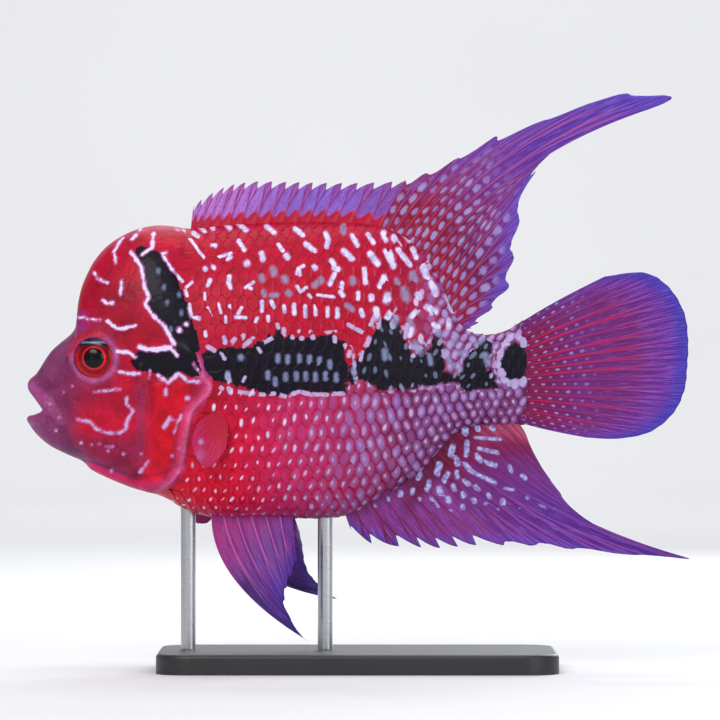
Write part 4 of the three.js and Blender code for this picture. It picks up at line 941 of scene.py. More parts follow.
def body_shell():
    """The closed loft of the body, a little inside the CAD solids where scales cover it."""
    fine = np.arange(SNOUT_X, TAIL_ROOT_X, FINE_STEP)
    climb = [np.abs(np.gradient(height(fine), fine)) for height in (top_at, bottom_at)]
    travelled = np.cumsum(FINE_STEP * np.maximum(1, np.maximum(*climb) / STEEP))
    x = np.append(np.interp(np.arange(0, travelled[-1], RING_SPACING), travelled, fine), TAIL_ROOT_X)
    y, z = section(x)
    inset = SKIN_INSET * smoothstep(behind_head(x[:, None], z), -2, 3)
    middle = widest_at(x)[:, None]
    y = y * (1 - inset / half_width_at(x)[:, None])
    z = middle + (z - middle) * (1 - inset / np.maximum(np.abs(z - middle), 20))
    ring_y = np.concatenate([y, -y[:, -2:0:-1]], 1)
    ring_z = np.concatenate([z, z[:, -2:0:-1]], 1)
    count = ring_y.shape[1]
    points = np.stack([np.repeat(x[:, None], count, 1), ring_y, ring_z], -1).reshape(-1, 3)
    return points, ring_faces(len(x), count) + [cap[::-1] for cap in end_caps(len(x), count)]


def tube(line, radius, sides=14):
    """A closed tube of points and faces along a line of points."""
    ahead = np.gradient(line, axis=0)
    ahead /= np.linalg.norm(ahead, axis=1, keepdims=True)
    side = np.cross(ahead, (0, 0.02, 1))
    side /= np.linalg.norm(side, axis=1, keepdims=True)
    rings = line + radius * circle(side, np.cross(ahead, side), sides)
    return rings.transpose(1, 0, 2).reshape(-1, 3), ring_faces(len(line), sides) + end_caps(len(line), sides)


def mirrored(line):
    """A line that starts on the fish's left side, carried round to its right side."""
    return [(x, -y, z) for x, y, z in line] + [(x, y, z) for x, y, z in line[-2::-1]]


def eye_frame(side):
    """Centre and axes of an eye: across towards the tail, outwards, upwards."""
    outwards = np.array([-math.sin(EYE_YAW), side * math.cos(EYE_YAW), 0])
    across = np.array([math.cos(EYE_YAW), side * math.sin(EYE_YAW), 0])
    centre = np.array([EYE_X, side * float(side_at(np.array(EYE_X), np.array(EYE_Z))), EYE_Z])
    return centre, across, outwards, np.array([0, 0, 1.0])


def socket_ring(side):
    """The raised rim round an eye."""
    centre, across, outwards, up = eye_frame(side)
    turn = np.linspace(0, 2 * math.pi, RIM_SIDES, endpoint=False)[None, :, None]
    reach = SOCKET_RADIUS + SOCKET_RIM * np.cos(turn)
    lift = SOCKET_RIM * np.sin(turn) - SOCKET_SINK
    points = (centre + reach * circle(across, up, SOCKET_SIDES) + lift * outwards).reshape(-1, 3)
    faces = ring_faces(SOCKET_SIDES, RIM_SIDES, closed=True)
    return points, faces if side > 0 else [face[::-1] for face in faces]


def ball(centre, radii, rows=16, columns=24):
    """A stretched ball of points and faces."""
    up = np.linspace(-math.pi / 2, math.pi / 2, rows)[1:-1, None]
    turn = np.linspace(0, 2 * math.pi, columns, endpoint=False)[None]
    rings = np.stack([np.cos(up) * np.cos(turn), np.cos(up) * np.sin(turn), np.sin(up) + 0 * turn], -1)
    points = np.vstack([rings.reshape(-1, 3), (0, 0, -1), (0, 0, 1)]) * radii + centre
    low, high, last = len(points) - 2, len(points) - 1, (rows - 3) * columns
    faces = ring_faces(rows - 2, columns)
    faces += [[low, (k + 1) % columns, k] for k in range(columns)]
    faces += [[high, last + k, last + (k + 1) % columns] for k in range(columns)]
    return points, faces


def joined(*shapes):
    points, faces, start = [], [], 0
    for shape_points, shape_faces in shapes:
        points.append(np.asarray(shape_points))
        faces += [[start + v for v in face] for face in shape_faces]
        start += len(shape_points)
    return np.vstack(points), faces


def prism(outline, half_width):
    points = [(x, y, z) for y in (-half_width, half_width) for x, z in outline]
    return np.array(points), ring_faces(2, len(outline)) + end_caps(2, len(outline))


def head_relief(x, z, facing):
    """How far the head's skin stands out or in, in millimetres."""
    cover = smoothstep(depth_in(x, z, OPERCLE_CURVE + COVER_FRONT), -0.25, 0.25)
    nostril = np.hypot(x - NOSTRIL[0], z - NOSTRIL[1])
    ripple = np.sin(x * 1.7 + np.sin(z * 0.9) * 2) * np.sin(z * 1.9 + np.sin(x * 0.8) * 2)
    raised = 0.95 * near(opercle_gap(x, z), 5) * cover * smoothstep(z, 133, 126)
    raised += 0.5 * smoothstep(depth_in(x, z, OPERCLE_PLATE), -1, 1.5)
    raised -= 0.7 * near(distance_to(x, z, PREOPERCLE_LINE), 0.8)
    raised += 0.5 * near(distance_to(x + 2.4, z, PREOPERCLE_LINE), 1.6)
    raised -= 0.8 * near(distance_to(x, z, LOWER_CHEEK_LINE), 0.8)
    raised += 0.9 * smoothstep(depth_in(x, z, GILL_FOLD), -0.3, 1.2)
    raised += smoothstep(depth_in(x, z, MAXILLA), -0.5, 1.2)
    raised -= 0.5 * near(distance_to(x, z, UNDER_LIP_LINE), 0.7)
    raised += 0.5 * near(nostril - 1.5, 0.6) - 1.2 * near(nostril, 0.75)
    raised += 0.06 * ripple * smoothstep(z, 142, 150)
    return raised * facing * (1 - smoothstep(behind_head(x, z), 1, 4))


def make_skin():
    shell = mesh_piece("fish_skin", *body_shell(), None, slot=None)
    mouth = mesh_piece("mouth_cut", *prism(MOUTH_OPENING, MOUTH_CUT_HALF_WIDTH), None, slot=None)
    throat = mesh_piece("throat_cut", *ball(THROAT_CENTRE, THROAT_RADII), None, slot=None)
    for cutter in (mouth, throat):
        cut = shell.modifiers.new("cut", "BOOLEAN")
        cut.operation, cut.solver, cut.object = "DIFFERENCE", "EXACT", cutter
    applied(shell)
    for cutter in (mouth, throat):
        bpy.data.objects.remove(cutter)
    lips = [tube(centripetal(mirrored(line), 8), LIP_RADIUS) for line in (UPPER_LIP, LOWER_LIP)]
    extras = mesh_piece("extras", *joined(*lips, socket_ring(-1), socket_ring(1)), None, slot=None)
    both = [shell, extras]
    with bpy.context.temp_override(active_object=shell, object=shell, selected_editable_objects=both,
                                   selected_objects=both):
        bpy.ops.object.join()
    remesh = shell.modifiers.new("remesh", "REMESH")
    remesh.mode, remesh.voxel_size = "VOXEL", VOXEL * MM
    settle = shell.modifiers.new("settle", "SMOOTH")
    settle.factor, settle.iterations = 0.5, 3
    applied(shell)
    normals = numbers_of(shell.data.vertices, "normal")
    places = numbers_of(shell.data.vertices, "co") / MM
    x, z = places[:, 0], places[:, 2]
    facing = smoothstep(np.abs(normals[:, 1]), 0.1, 0.4) * smoothstep(np.abs(places[:, 1]), 3, 7)
    places = places + normals * head_relief(x, z, facing)[:, None]
    shell.data.vertices.foreach_set("co", (places * MM).astype(np.float32).ravel())
    shell.data.update()
    marks = {"tint": body_tint, "dark": dark_depth, "pale": pale_depth, "glint": glint_depth}
    for name, measure in marks.items():
        give(shell, name, measure(x, z))
    shell.data.polygons.foreach_set("use_smooth", [True] * len(shell.data.polygons))
    shell.data.materials.clear()
    shell.data.materials.append(skin_material())
    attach(shell, "root")
    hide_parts("head", "nuchal_hump", "upper_jaw", "lower_jaw", "opercle_left", "opercle_right",
                "torso", "caudal_peduncle")


# Scales

FIRST_SCALE_X = -84.0
ROW_PITCH, ROW_NARROWING, MOST_ROWS = 6.3, 0.07, 13
SCALE_PITCH = 4.25
SCALE_HALF_LENGTH, SCALE_HALF_HEIGHT = 4.5, 4.6
SCALE_COLUMNS, SCALE_ROWS = 8, 9
SCALE_SINK, SCALE_RISE, SCALE_DOME = 0.6, 0.34, 0.06
SCALE_THICK, ROOT_THICK = 0.22, 0.02
JITTER = 0.04
MARKS_FROM_CENTRE = 0.35
MARK_GROUPS = (("bright", BRIGHT_MARKS, 0), ("bright_too", BRIGHT_MARKS, 1), ("border", BORDER_MARKS, 0),
               ("dull", DULL_MARKS, 0), ("dull_too", DULL_MARKS, 1))
FARTHEST_MARK = 40
PATCH, PATCH_MARGIN, PATCHES_WIDE, PATCHES_HIGH = 0.003, 0.02, 0.46, 0.96


def shortened(size):
    """How long a scale of a given size is, as a share of the longest."""
    return 0.62 + 0.38 * size


def scale_rows():
    """Centres of one side's scales: x and the height along the skin, and how large each is."""
    places = []
    for row in range(-MOST_ROWS, MOST_ROWS + 1):
        height = math.copysign(ROW_PITCH * abs(row) - ROW_NARROWING * row * row, row)
        x = FIRST_SCALE_X + (row % 2) * SCALE_PITCH / 2
        while x < TAIL_ROOT_X - 1.5:
            size = 1 - 0.36 * float(smoothstep(np.array(x), -5, 48))
            places.append((x, height * size, size))
            x += SCALE_PITCH * shortened(size)
    x, arc, size = np.array(places).T
    low, high = body_arcs(x)
    point = on_body(x, arc)
    keep = (arc > low + 0.5) & (arc < high - 0.2) & (behind_head(point[:, 0], point[:, 2]) > 1.5)
    return x[keep], arc[keep], size[keep]


def nearest_marks(x, z, centre_x, centre_z, marks, rank):
    """Coordinates along and across the mark of that rank from each scale, in halves of its width."""
    marks = np.array(marks)
    gaps = np.stack([distance_to(centre_x, centre_z, [m[:2], m[2:4]]) - m[4] for m in marks])
    chosen = marks[np.argsort(gaps, axis=0)[rank]]
    ends = chosen[:, 2:4] - chosen[:, :2]
    length = np.maximum(np.hypot(ends[:, 0], ends[:, 1]), 1e-6)[:, None]
    way_x, way_z = (ends / length).T[..., None]
    middle_x, middle_z = ((chosen[:, :2] + chosen[:, 2:4]) / 2).T[..., None]
    along = (x - middle_x) * way_x + (z - middle_z) * way_z
    across = (x - middle_x) * way_z - (z - middle_z) * way_x
    half = np.repeat(length / 2, x.shape[1], 1)
    places = np.stack([along, across, half], -1) / chosen[:, None, 4:5]
    return np.clip(places, -FARTHEST_MARK, FARTHEST_MARK)


def plate_outline():
    """Places of a scale's grid, -1 at the root and 1 at the free end, and the order of its border."""
    a = np.linspace(-1, 0.985, SCALE_COLUMNS)
    rounded = np.sqrt(np.clip(1 - np.clip((a + 0.1) / 1.1, 0, 1) ** 2.5, 0.02, 1))
    width = np.where(a > -0.1, rounded, 1 - 0.25 * (a + 0.1) ** 2)
    across = width[:, None] * np.linspace(-1, 1, SCALE_ROWS)[None]
    return a.repeat(SCALE_ROWS), across.ravel(), grid_border(SCALE_COLUMNS, SCALE_ROWS)


def plate_faces(border):
    """A scale's outer face, its rim, and strips across its underside."""
    below = {corner: SCALE_COLUMNS * SCALE_ROWS + k for k, corner in enumerate(border)}
    rim = [[q, p, below[p], below[q]] for p, q in zip(border, border[1:] + border[:1])]
    ends = [(below[i * SCALE_ROWS], below[i * SCALE_ROWS + SCALE_ROWS - 1]) for i in range(SCALE_COLUMNS)]
    strips = [[a, b, d, c] for (a, b), (c, d) in zip(ends[:-1], ends[1:])]
    return np.array([*grid_faces(SCALE_COLUMNS, SCALE_ROWS).tolist(), *rim, *strips])


def make_scales(side, material):
    """One side's scales in a single mesh."""
    draw = np.random.default_rng(SEED)
    x, arc, size = scale_rows()
    count = len(x)
    along, across, border = plate_outline()
    per = len(along)
    chance = draw.random(count)
    jitter = draw.normal(0, JITTER, (count, 3))
    long = SCALE_HALF_LENGTH * shortened(size) * (1 + jitter[:, 0])
    tall = SCALE_HALF_HEIGHT * size * (1 + jitter[:, 1])
    plate_x = np.clip((x[:, None] + np.outer(long, along)).ravel(), SNOUT_X, TAIL_ROOT_X)
    plate_arc = (arc[:, None] + np.outer(tall, across)).ravel()
    surface = on_body(plate_x, plate_arc)
    normal = body_normals(plate_x, plate_arc)
    share = (along + 1) / 2
    centre_x, _, centre_z = on_body(x + 0.35 * long, arc).T
    flat = 1 - 0.5 * smoothstep(centre_z, 122, 130) * smoothstep(centre_x, 12, -8)
    rise = SCALE_SINK + SCALE_RISE * flat[:, None]
    lift = rise * share ** 0.8 - SCALE_SINK + SCALE_DOME * (1 - across ** 2)
    lift = (lift + 0.7 * np.outer(jitter[:, 2], share)).ravel()
    thick = SCALE_THICK * np.tile(share, count) + ROOT_THICK
    outer = (surface + normal * lift[:, None]).reshape(count, per, 3)
    inner = (surface + normal * (lift - thick)[:, None]).reshape(count, per, 3)
    points = np.concatenate([outer, inner[:, border]], 1) * (1, side, 1)
    faces = np.arange(count)[:, None, None] * points.shape[1] + plate_faces(border)[:, ::side]
    name = "scales_left" if side < 0 else "scales_right"
    piece = mesh_piece(name, points.reshape(-1, 3), faces.reshape(-1, 4), material)

    def spread(values):
        return np.repeat(values, per, 0)

    place_x, place_z = surface[:, 0].reshape(count, per), surface[:, 2].reshape(count, per)
    mark_x = spread(centre_x) * MARKS_FROM_CENTRE + place_x.ravel() * (1 - MARKS_FROM_CENTRE)
    mark_z = spread(centre_z) * MARKS_FROM_CENTRE + place_z.ravel() * (1 - MARKS_FROM_CENTRE)
    look, style = scale_marks(centre_x, centre_z, chance, draw)
    dark = dark_depth(mark_x, mark_z)
    uneven = 1.4 * (spread(chance) - 0.5) * smoothstep(mark_x, -10, 10)
    dark = dark + np.where(np.abs(dark) < 6, uneven, 0)
    values = {
        "cell": np.stack([np.tile(along, count), np.tile(across, count), spread(chance)], 1),
        "look": spread(look), "style": spread(style), "tint": body_tint(spread(centre_x), spread(centre_z)),
        "dark": dark, "pale": edging_depth(mark_x, mark_z, dark),
    }
    for name, marks, rank in MARK_GROUPS:
        values[name] = nearest_marks(place_x, place_z, centre_x, centre_z, marks, rank).reshape(-1, 3)
    for name, value in values.items():
        wide = value.reshape(count, per, -1)
        wide = np.concatenate([wide, wide[:, border]], 1)
        give(piece, name, wide.reshape(-1) if value.ndim == 1 else wide.reshape(-1, 3))
    bake_patches(piece, x, arc, side, along, across, border)


def edging_depth(x, z, dark):
    """The pale border of the rear half of the black band, and the ring round the tail's spot."""
    rear = smoothstep(x, -6, 4)
    border = 0.35 * rear - np.abs(dark + 0.7) - 3 * (1 - rear)
    ring = 1.25 - np.abs((ocellus_reach(x, z) - 1) * 6 - 1.2)
    gap = np.where((z > 114) & (z < 131), 1 - np.abs(x + 1.6 + 0.12 * (z - 122)), -5)
    return np.maximum.reduce([border, ring, gap - 0.3])


def scale_marks(x, z, chance, draw):
    """How each scale is marked. The look is its pale spot, its lavender middle and how far it lies in
    the black band. The style is how pink its spot is, how dark its gaps are and its spot's slant."""
    count = len(x)
    other = draw.random(count)
    low = smoothstep(z, 115.5, 112.5)
    band = smoothstep(dark_depth(x, z), -0.8, 1.2)
    rear = smoothstep(x, -34, 12)
    top_rear = smoothstep(x, 20, 34) * smoothstep(z, 112, 116)
    spot_low = np.where(other < 0.9, 0.34 + 0.2 * chance, 0)
    spot_low = np.where(z < 84, spot_low * 0.8, spot_low) * (0.8 + 0.35 * rear)
    spot_band = np.where((other < 0.7) & (x > -4) & (x < 54), 0.35 + 0.4 * chance, 0)
    spot_high = np.where(other < 0.85 * top_rear, 0.45 + 0.5 * chance, 0)
    spot = low * spot_low + (1 - low) * spot_high
    spot = spot * (1 - band) + spot_band * band
    halo = low * smoothstep(x, -48, 12) * (0.35 + 0.65 * draw.random(count)) + 0.85 * top_rear
    gaps = 0.06 + 0.8 * np.maximum(low * smoothstep(x, -26, 22), top_rear) + 0.06 * low
    lean = np.clip(draw.random(count) * 0.9 + 0.15 * rear, 0, 1) * (1 - 0.85 * top_rear)
    tilt = 0.3 * low * (1 - rear) + 0.25 * top_rear
    return np.stack([spot, halo * (1 - band), band], 1), np.stack([lean, gaps * (1 - band), tilt], 1)


def bake_patches(piece, x, arc, side, along, across, border):
    """A small patch for each scale, at its root's place on the skin's own unwrapped side."""
    left = PATCH_MARGIN if side < 0 else 0.5 + PATCH_MARGIN
    u = left + PATCHES_WIDE * (x - SNOUT_X) / (TAIL_ROOT_X - SNOUT_X)
    v = PATCH_MARGIN + PATCHES_HIGH * (arc + 90) / 180
    places = np.stack([u[:, None] + PATCH / 2 * along, v[:, None] + PATCH / 2 * across], -1)
    places = np.concatenate([places, places[:, border]], 1).reshape(-1, 2)
    corners = np.empty(len(piece.data.loops), np.int32)
    piece.data.loops.foreach_get("vertex_index", corners)
    layer = piece.data.uv_layers.new(name="OFBake")
    layer.data.foreach_set("uv", places[corners].astype(np.float32).ravel())


# Fins

FINS = {
    "dorsal_fin_spiny": dict(rays=17, per=10, rows=28, notch=3.4, spiny=True, flare=1.5, wave=(0.4, 5.0)),
    "dorsal_fin_soft": dict(rays=19, per=10, rows=60, notch=2.6, flare=1.5, wave=(2.0, 1.0)),
    "caudal_fin": dict(rays=21, per=10, rows=52, notch=0.2, flare=2.4, wave=(1.6, 2.0)),
    "anal_fin_spiny": dict(rays=8, per=12, rows=34, notch=5.2, spiny=True, flare=1.4, wave=(0.5, 2.0)),
    "anal_fin_soft": dict(rays=13, per=12, rows=60, notch=2.0, flare=1.4, wave=(1.6, 1.0)),
    "pelvic_fin_left": dict(rays=7, per=14, rows=46, notch=1.3, flare=1.0, side=-1),
    "pelvic_fin_right": dict(rays=7, per=14, rows=46, notch=0.6, flare=1.0, side=1),
    "pectoral_fin_left": dict(rays=13, per=8, rows=30, notch=0.3, flare=0.6, side=-1),
    "pectoral_fin_right": dict(rays=13, per=8, rows=32, notch=0.2, flare=0.6, side=1),
}
BROKEN_TIPS = [(0.162, 0.009, 2.8), (0.19, 0.014, -1.6), (0.655, 0.009, 4.2), (0.675, 0.012, -1.4),
               (0.44, 0.022, -6.0), (0.405, 0.008, 1.0)]
MEMBRANE_HALF, RAY_HEIGHT, TIP_HALF = 0.2, 0.34, 0.1
ROOT_ROWS, ROOT_DEPTH = 3, 3.0
SPINE_PHASE = 0.18
PELVIC_ROOT_Y, PELVIC_SPREAD = 5.0, 12.0
PECTORAL_ROOT, PECTORAL_SINK, PECTORAL_SPREAD = (-53.4, 105.2), 1.6, 5.0
DOT_X, DOT_Z = -62, 92


def spline_between(lines, share):
    """Root, bend and edge points between the lines of a fin, for each share from front to rear."""
    knots = np.array(lines, float)
    place = np.clip(share, 0, 1) * (len(knots) - 1)
    i = np.minimum(place.astype(int), len(knots) - 2)
    f = (place - i)[:, None, None]
    p0, p1 = knots[np.maximum(i - 1, 0)], knots[i]
    p2, p3 = knots[i + 1], knots[np.minimum(i + 2, len(knots) - 1)]
    v0, v1 = (p2 - p0) / 2, (p3 - p1) / 2
    points = (2 * p1 - 2 * p2 + v0 + v1) * f ** 3 + (-3 * p1 + 3 * p2 - 2 * v0 - v1) * f ** 2 + v0 * f + p1
    return points.transpose(1, 0, 2)


def fin_sideways(name, share, t, wave, side):
    if wave:
        return wave[0] * t * t * np.sin(wave[1] * math.pi * share)
    if name.startswith("pelvic"):
        return side * (PELVIC_ROOT_Y + PELVIC_SPREAD * t)
    root = float(side_at(*map(np.array, PECTORAL_ROOT)))
    return side * (root - PECTORAL_SINK + PECTORAL_SPREAD * np.sqrt(t))


def edge_notches(phase, spiny):
    """How far the edge is drawn in between two rays, as a share of its deepest notch."""
    if spiny:
        falling = np.abs(1 - (phase - SPINE_PHASE) / (1 - SPINE_PHASE)) ** 1.8
        return np.where(phase < SPINE_PHASE, phase / SPINE_PHASE, falling)
    return smoothstep(np.minimum(phase, 1 - phase), 0.05, 0.4)


def make_fin(name, material, rays, per, rows, notch, flare, spiny=False, wave=None, side=0):
    """A closed plate with raised rays, from inside the body out to its notched edge."""
    columns = (rays - 1) * per + 1
    lane = np.linspace(0, rays - 1, columns)
    share = lane / (rays - 1)
    phase = lane % 1
    root, bend, edge = spline_between(FIN_LINES[name], share)
    length = np.linalg.norm(bend - root, axis=1) + np.linalg.norm(edge - bend, axis=1)
    ragged = np.random.default_rng(SEED + rays).normal(0, 0.12, columns) * (0 if spiny else min(notch, 1))
    drawn = edge_notches(phase, spiny) * np.minimum(notch, length * 0.3)
    reach = 1 - np.clip(drawn + ragged, -0.4, 9) / length
    if name == "dorsal_fin_soft":
        for at, wide, out in BROKEN_TIPS:
            reach += out * near(share - at, wide) / length
    below = -np.linspace(ROOT_DEPTH, 1, ROOT_ROWS)[None] / length[:, None]
    t = np.concatenate([below, np.outer(reach, np.linspace(0, 1, rows - ROOT_ROWS) ** 1.05)], 1)
    weights = ((1 - t) ** 2, 2 * t * (1 - t), t ** 2)
    x, z = (sum(w * p[:, k:k + 1] for w, p in zip(weights, (root, bend, edge))) for k in (0, 1))
    clipped = np.clip(t, 0, 1)
    depth = t * length[:, None]
    branch = 0.22 * smoothstep(clipped, 0.3, 0.9) * (0 if spiny else 1)
    crest = near(np.minimum(phase, 1 - phase)[:, None] - branch, 0.13) * (1 - 0.6 * clipped)
    fairing = flare * np.exp(-np.clip(depth + 1, 0, 99) / 2.6)
    edge_thin = smoothstep((reach[:, None] - t) * length[:, None], 0, 1.5)
    ridge = RAY_HEIGHT * (0.4 if name.startswith("pectoral") else 1)
    half = TIP_HALF + (MEMBRANE_HALF - TIP_HALF + ridge * crest) * edge_thin + fairing
    middle = fin_sideways(name, share[:, None], clipped, wave, side)
    points = np.concatenate([np.stack([x, y, z], -1).reshape(-1, 3) for y in (middle - half, middle + half)])
    size = columns * rows
    border = grid_border(columns, rows)
    walls = [[p, q, q + size, p + size] for p, q in zip(border, border[1:] + border[:1])]
    faces = np.vstack([grid_faces(columns, rows), grid_faces(columns, rows, size)[:, ::-1], walls])
    piece = mesh_piece(name + "_fine", points, faces, material, replaces=[name], slot="fin")
    grid = np.stack([np.repeat(lane[:, None], rows, 1), clipped, depth], -1).reshape(-1, 3)
    marks = fin_marks(name, x.ravel(), z.ravel(), share.repeat(rows), clipped.ravel(), depth.ravel(),
                      length.repeat(rows))
    for key, values in {"grid": grid, **marks}.items():
        give(piece, key, np.concatenate([values, values]))


def pearl_depth(x, z):
    """How far inside the nearest pearly bar of the anal fin a point lies, in millimetres."""
    return np.maximum.reduce([wide / 2 - distance_to(x, z, [(x1, z1), (x2, z2)])
                              for x1, z1, x2, z2, wide in ANAL_PEARLS])


def spiny_dorsal_marks(share, depth, to_edge):
    """The red foot and lilac lappets of the spiny dorsal fin."""
    top = smoothstep(depth + 1.4 * np.sin(share * 100.5), 4, 6)
    tint = layered(
        srgb(226, 6, 54),
        (srgb(226, 164, 226), top),
        (srgb(140, 124, 214), 0.75 * top * smoothstep(share, 0.25, 0.6)),
        (srgb(150, 50, 120), 0.5 * top * smoothstep(share, 0.8, 1)),
        (srgb(176, 84, 160), 0.6 * smoothstep(to_edge, 2.6, 0.4)),
    )
    ray = layered(srgb(170, 10, 50), (srgb(126, 30, 96), smoothstep(depth, 4, 8)))
    look = 0, 0.85, 0.6 * top
    return tint, ray, srgb(150, 54, 130), look


def soft_dorsal_marks(share, depth, to_edge):
    """The soft dorsal fin, from crimson to blue at its point, with pearls on its membranes."""
    tint = layered(
        srgb(176, 12, 56),
        (srgb(128, 20, 76), smoothstep(depth, 6, 20) * smoothstep(share, 0.25, 0.6)),
        (srgb(150, 64, 140), smoothstep(depth, 12, 44)),
        (srgb(118, 72, 172), smoothstep(depth, 30, 78)),
        (srgb(112, 98, 208), 0.75 * smoothstep(to_edge, 12, 1) * smoothstep(share, 0.2, 0.4)),
        (srgb(104, 84, 190), 0.6 * smoothstep(depth, 80, 120)),
    )
    ray = layered(
        srgb(196, 50, 90),
        (srgb(176, 80, 140), smoothstep(depth, 20, 50)),
        (srgb(110, 76, 176), smoothstep(to_edge, 30, 8)),
    )
    pearly = 0.85 * smoothstep(depth, 62, 34) * smoothstep(to_edge, 3, 10)
    look = pearly, 0.7, 0.6 * smoothstep(depth, 60, 24)
    return tint, ray, srgb(112, 10, 60), look


def caudal_marks(share, depth, to_edge):
    """The fan of the tail, with red streaks and a blue rim."""
    middle = smoothstep(np.abs(share - 0.52), 0.5, 0.3)
    tint = layered(
        srgb(150, 24, 84),
        (srgb(136, 50, 124), smoothstep(depth, 4, 22)),
        (srgb(118, 62, 166), 0.85 * smoothstep(to_edge, 22, 7)),
        (srgb(80, 74, 184), smoothstep(to_edge, 8, 1)),
        (srgb(120, 58, 152), 0.6 * smoothstep(np.abs(share - 0.5), 0.34, 0.5)),
    )
    ray = layered(
        srgb(150, 44, 116),
        (srgb(170, 80, 166), smoothstep(to_edge, 30, 10)),
        (srgb(96, 70, 180), smoothstep(to_edge, 10, 3)),
    )
    look = 0.75 * smoothstep(depth, 34, 14), 0.5, 0.95 * smoothstep(to_edge, 12, 30) * middle
    return tint, ray, srgb(186, 2, 46), look


def anal_marks(x, z, depth, to_edge, spines):
    """Both anal fins, paler where the spines are, and orange at the rear of their root."""
    rear = smoothstep(x, 44, 56) * smoothstep(z, 82, 92)
    by_bars = smoothstep(x, 14, 24) * smoothstep(depth, 30, 18) * smoothstep(x - 0.9 * (z - 60), 22, 14)
    tint = layered(
        srgb(156, 30, 92),
        (srgb(140, 60, 142), smoothstep(depth, 8 - 6 * spines, 28 - 14 * spines)),
        (srgb(106, 58, 160), 0.75 * smoothstep(depth, 30, 62)),
        (srgb(172, 84, 160), 0.75 * spines),
        (srgb(98, 88, 196), 0.9 * spines * smoothstep(to_edge, 5, 0.5)),
        (srgb(112, 92, 196), 0.8 * smoothstep(to_edge, 10, 1)),
        (srgb(66, 46, 136), 0.6 * smoothstep(depth, 66, 100)),
        (srgb(120, 4, 50), 0.8 * by_bars),
        (srgb(176, 44, 96), 0.6 * rear),
        (srgb(228, 112, 128), 0.9 * rear * smoothstep(depth, 14, 4)),
    )
    ray = layered(srgb(110, 12, 56), (srgb(150, 74, 156), smoothstep(depth, 14, 50)))
    look = 0, 0.6 + 0.25 * spines, 0.6 * smoothstep(depth, 40, 16) * (1 - 0.5 * spines)
    return tint, ray, srgb(106, 8, 50), look


def pelvic_marks(share, t):
    """The pelvic fins, from pink to dark blue at their points."""
    front = smoothstep(share, 0.3, 0.08) * smoothstep(t, 0.35, 0.6) * smoothstep(share, 0, 0.04)
    tint = layered(
        srgb(196, 66, 140),
        (srgb(140, 66, 156), smoothstep(t + 0.5 * share, 0.2, 0.7)),
        (srgb(104, 76, 184), smoothstep(t, 0.55, 0.95)),
        (srgb(50, 22, 96), 0.8 * front),
        (srgb(44, 36, 120), 0.7 * smoothstep(t, 0.85, 1)),
    )
    ray = layered(srgb(196, 96, 168), (srgb(86, 50, 140), smoothstep(t, 0.3, 0.8)))
    look = 0, 0.6, 0.75
    return tint, ray, srgb(96, 30, 110), look


def pectoral_marks(x, z, t, far):
    """The pectoral fins, the near one with its pale dot."""
    dot = np.exp(-(np.hypot(x - DOT_X, z - DOT_Z) / 1.1) ** 4)
    dot = np.clip(dot + 0.4 * near(np.hypot(x - DOT_X + 0.8, z - DOT_Z + 5.4), 2.2), 0, 1)
    tint = layered(
        srgb(222, 14, 56),
        (srgb(216, 62, 120), 0.45 * smoothstep(t, 0.5, 1)),
        (srgb(176, 84, 160), far * smoothstep(t, 0.3, 0.8)),
        (srgb(206, 196, 232), (1 - far) * dot),
    )
    ray = srgb(196, 22, 66)
    look = 0, 0.45 * (1 - dot), 0.3
    return tint, ray, srgb(190, 16, 56), look


def fin_marks(name, x, z, share, t, depth, length):
    """Colours and marks at points of a fin. The look is how strongly its pearls, rays and streaks show."""
    to_edge = (1 - t) * length
    ones = np.ones_like(t)
    pearls = -5 * ones
    if name == "dorsal_fin_spiny":
        marks = spiny_dorsal_marks(share, depth, to_edge)
    elif name == "dorsal_fin_soft":
        marks = soft_dorsal_marks(share, depth, to_edge)
    elif name == "caudal_fin":
        marks = caudal_marks(share, depth, to_edge)
    elif name.startswith("anal"):
        marks = anal_marks(x, z, depth, to_edge, ones if name.endswith("spiny") else 0 * ones)
        pearls = pearl_depth(x, z)
    elif name.startswith("pelvic"):
        marks = pelvic_marks(share, t)
    else:
        marks = pectoral_marks(x, z, t, far=0 if name.endswith("left") else 1)
    tint, ray, streak, look = marks
    colours = {"tint": tint, "ray": ray, "streak": streak}
    values = {key: np.broadcast_to(colour, (len(x), 3)) for key, colour in colours.items()}
    return {**values, "look": np.stack([value * ones for value in look], 1), "pearls": pearls}


# Eyes

EYE_ROWS, EYE_COLUMNS = 30, 64
IRIS_RADIUS = 8.1
SEEN_TILT = 1.6


def eye_material():
    look = Shader("flowerhorn_eye", Roughness=0.3, Specular_IOR_Level=0.1, Coat_Weight=0.25,
                  Coat_Roughness=0.03)
    reach, turn, height = look.parts("iris")
    fibres = look.noise(3.0, 4.0, place=look.pair(turn * 9.0, reach * 1.2))
    base = look.mix(look.step(fibres, 0.3, 0.7), srgb(140, 2, 8), srgb(206, 4, 10))
    base = look.mix(look.step(height, 0.1, 0.62) * 0.85, base, srgb(60, 2, 12))
    dusk = look.step(reach, 0.56, 0.66) * look.step(reach, 0.86, 0.74)
    base = look.mix(dusk * 0.8, base, srgb(78, 2, 22))
    base = look.mix(look.step(reach, 0.93, 1.0), base, srgb(120, 30, 60))
    crescent = look.step(height, 0.56, 0.64) * look.step(reach, 0.6, 0.7)
    base = look.mix(crescent, base, srgb(16, 20, 40))
    glint = look.step(height, 0.7, 0.74) * look.step(height, 0.84, 0.79)
    base = look.mix(glint * 0.6, base, srgb(120, 140, 176))
    pupil_edge = reach + (fibres - 0.5) * 0.015
    ring = look.step(pupil_edge, 0.49, 0.505) * look.step(pupil_edge, 0.62, 0.56)
    base = look.mix(ring * 0.8, base, srgb(218, 16, 34))
    return look.colour(look.mix(look.step(pupil_edge, 0.505, 0.49), base, srgb(3, 3, 8)))


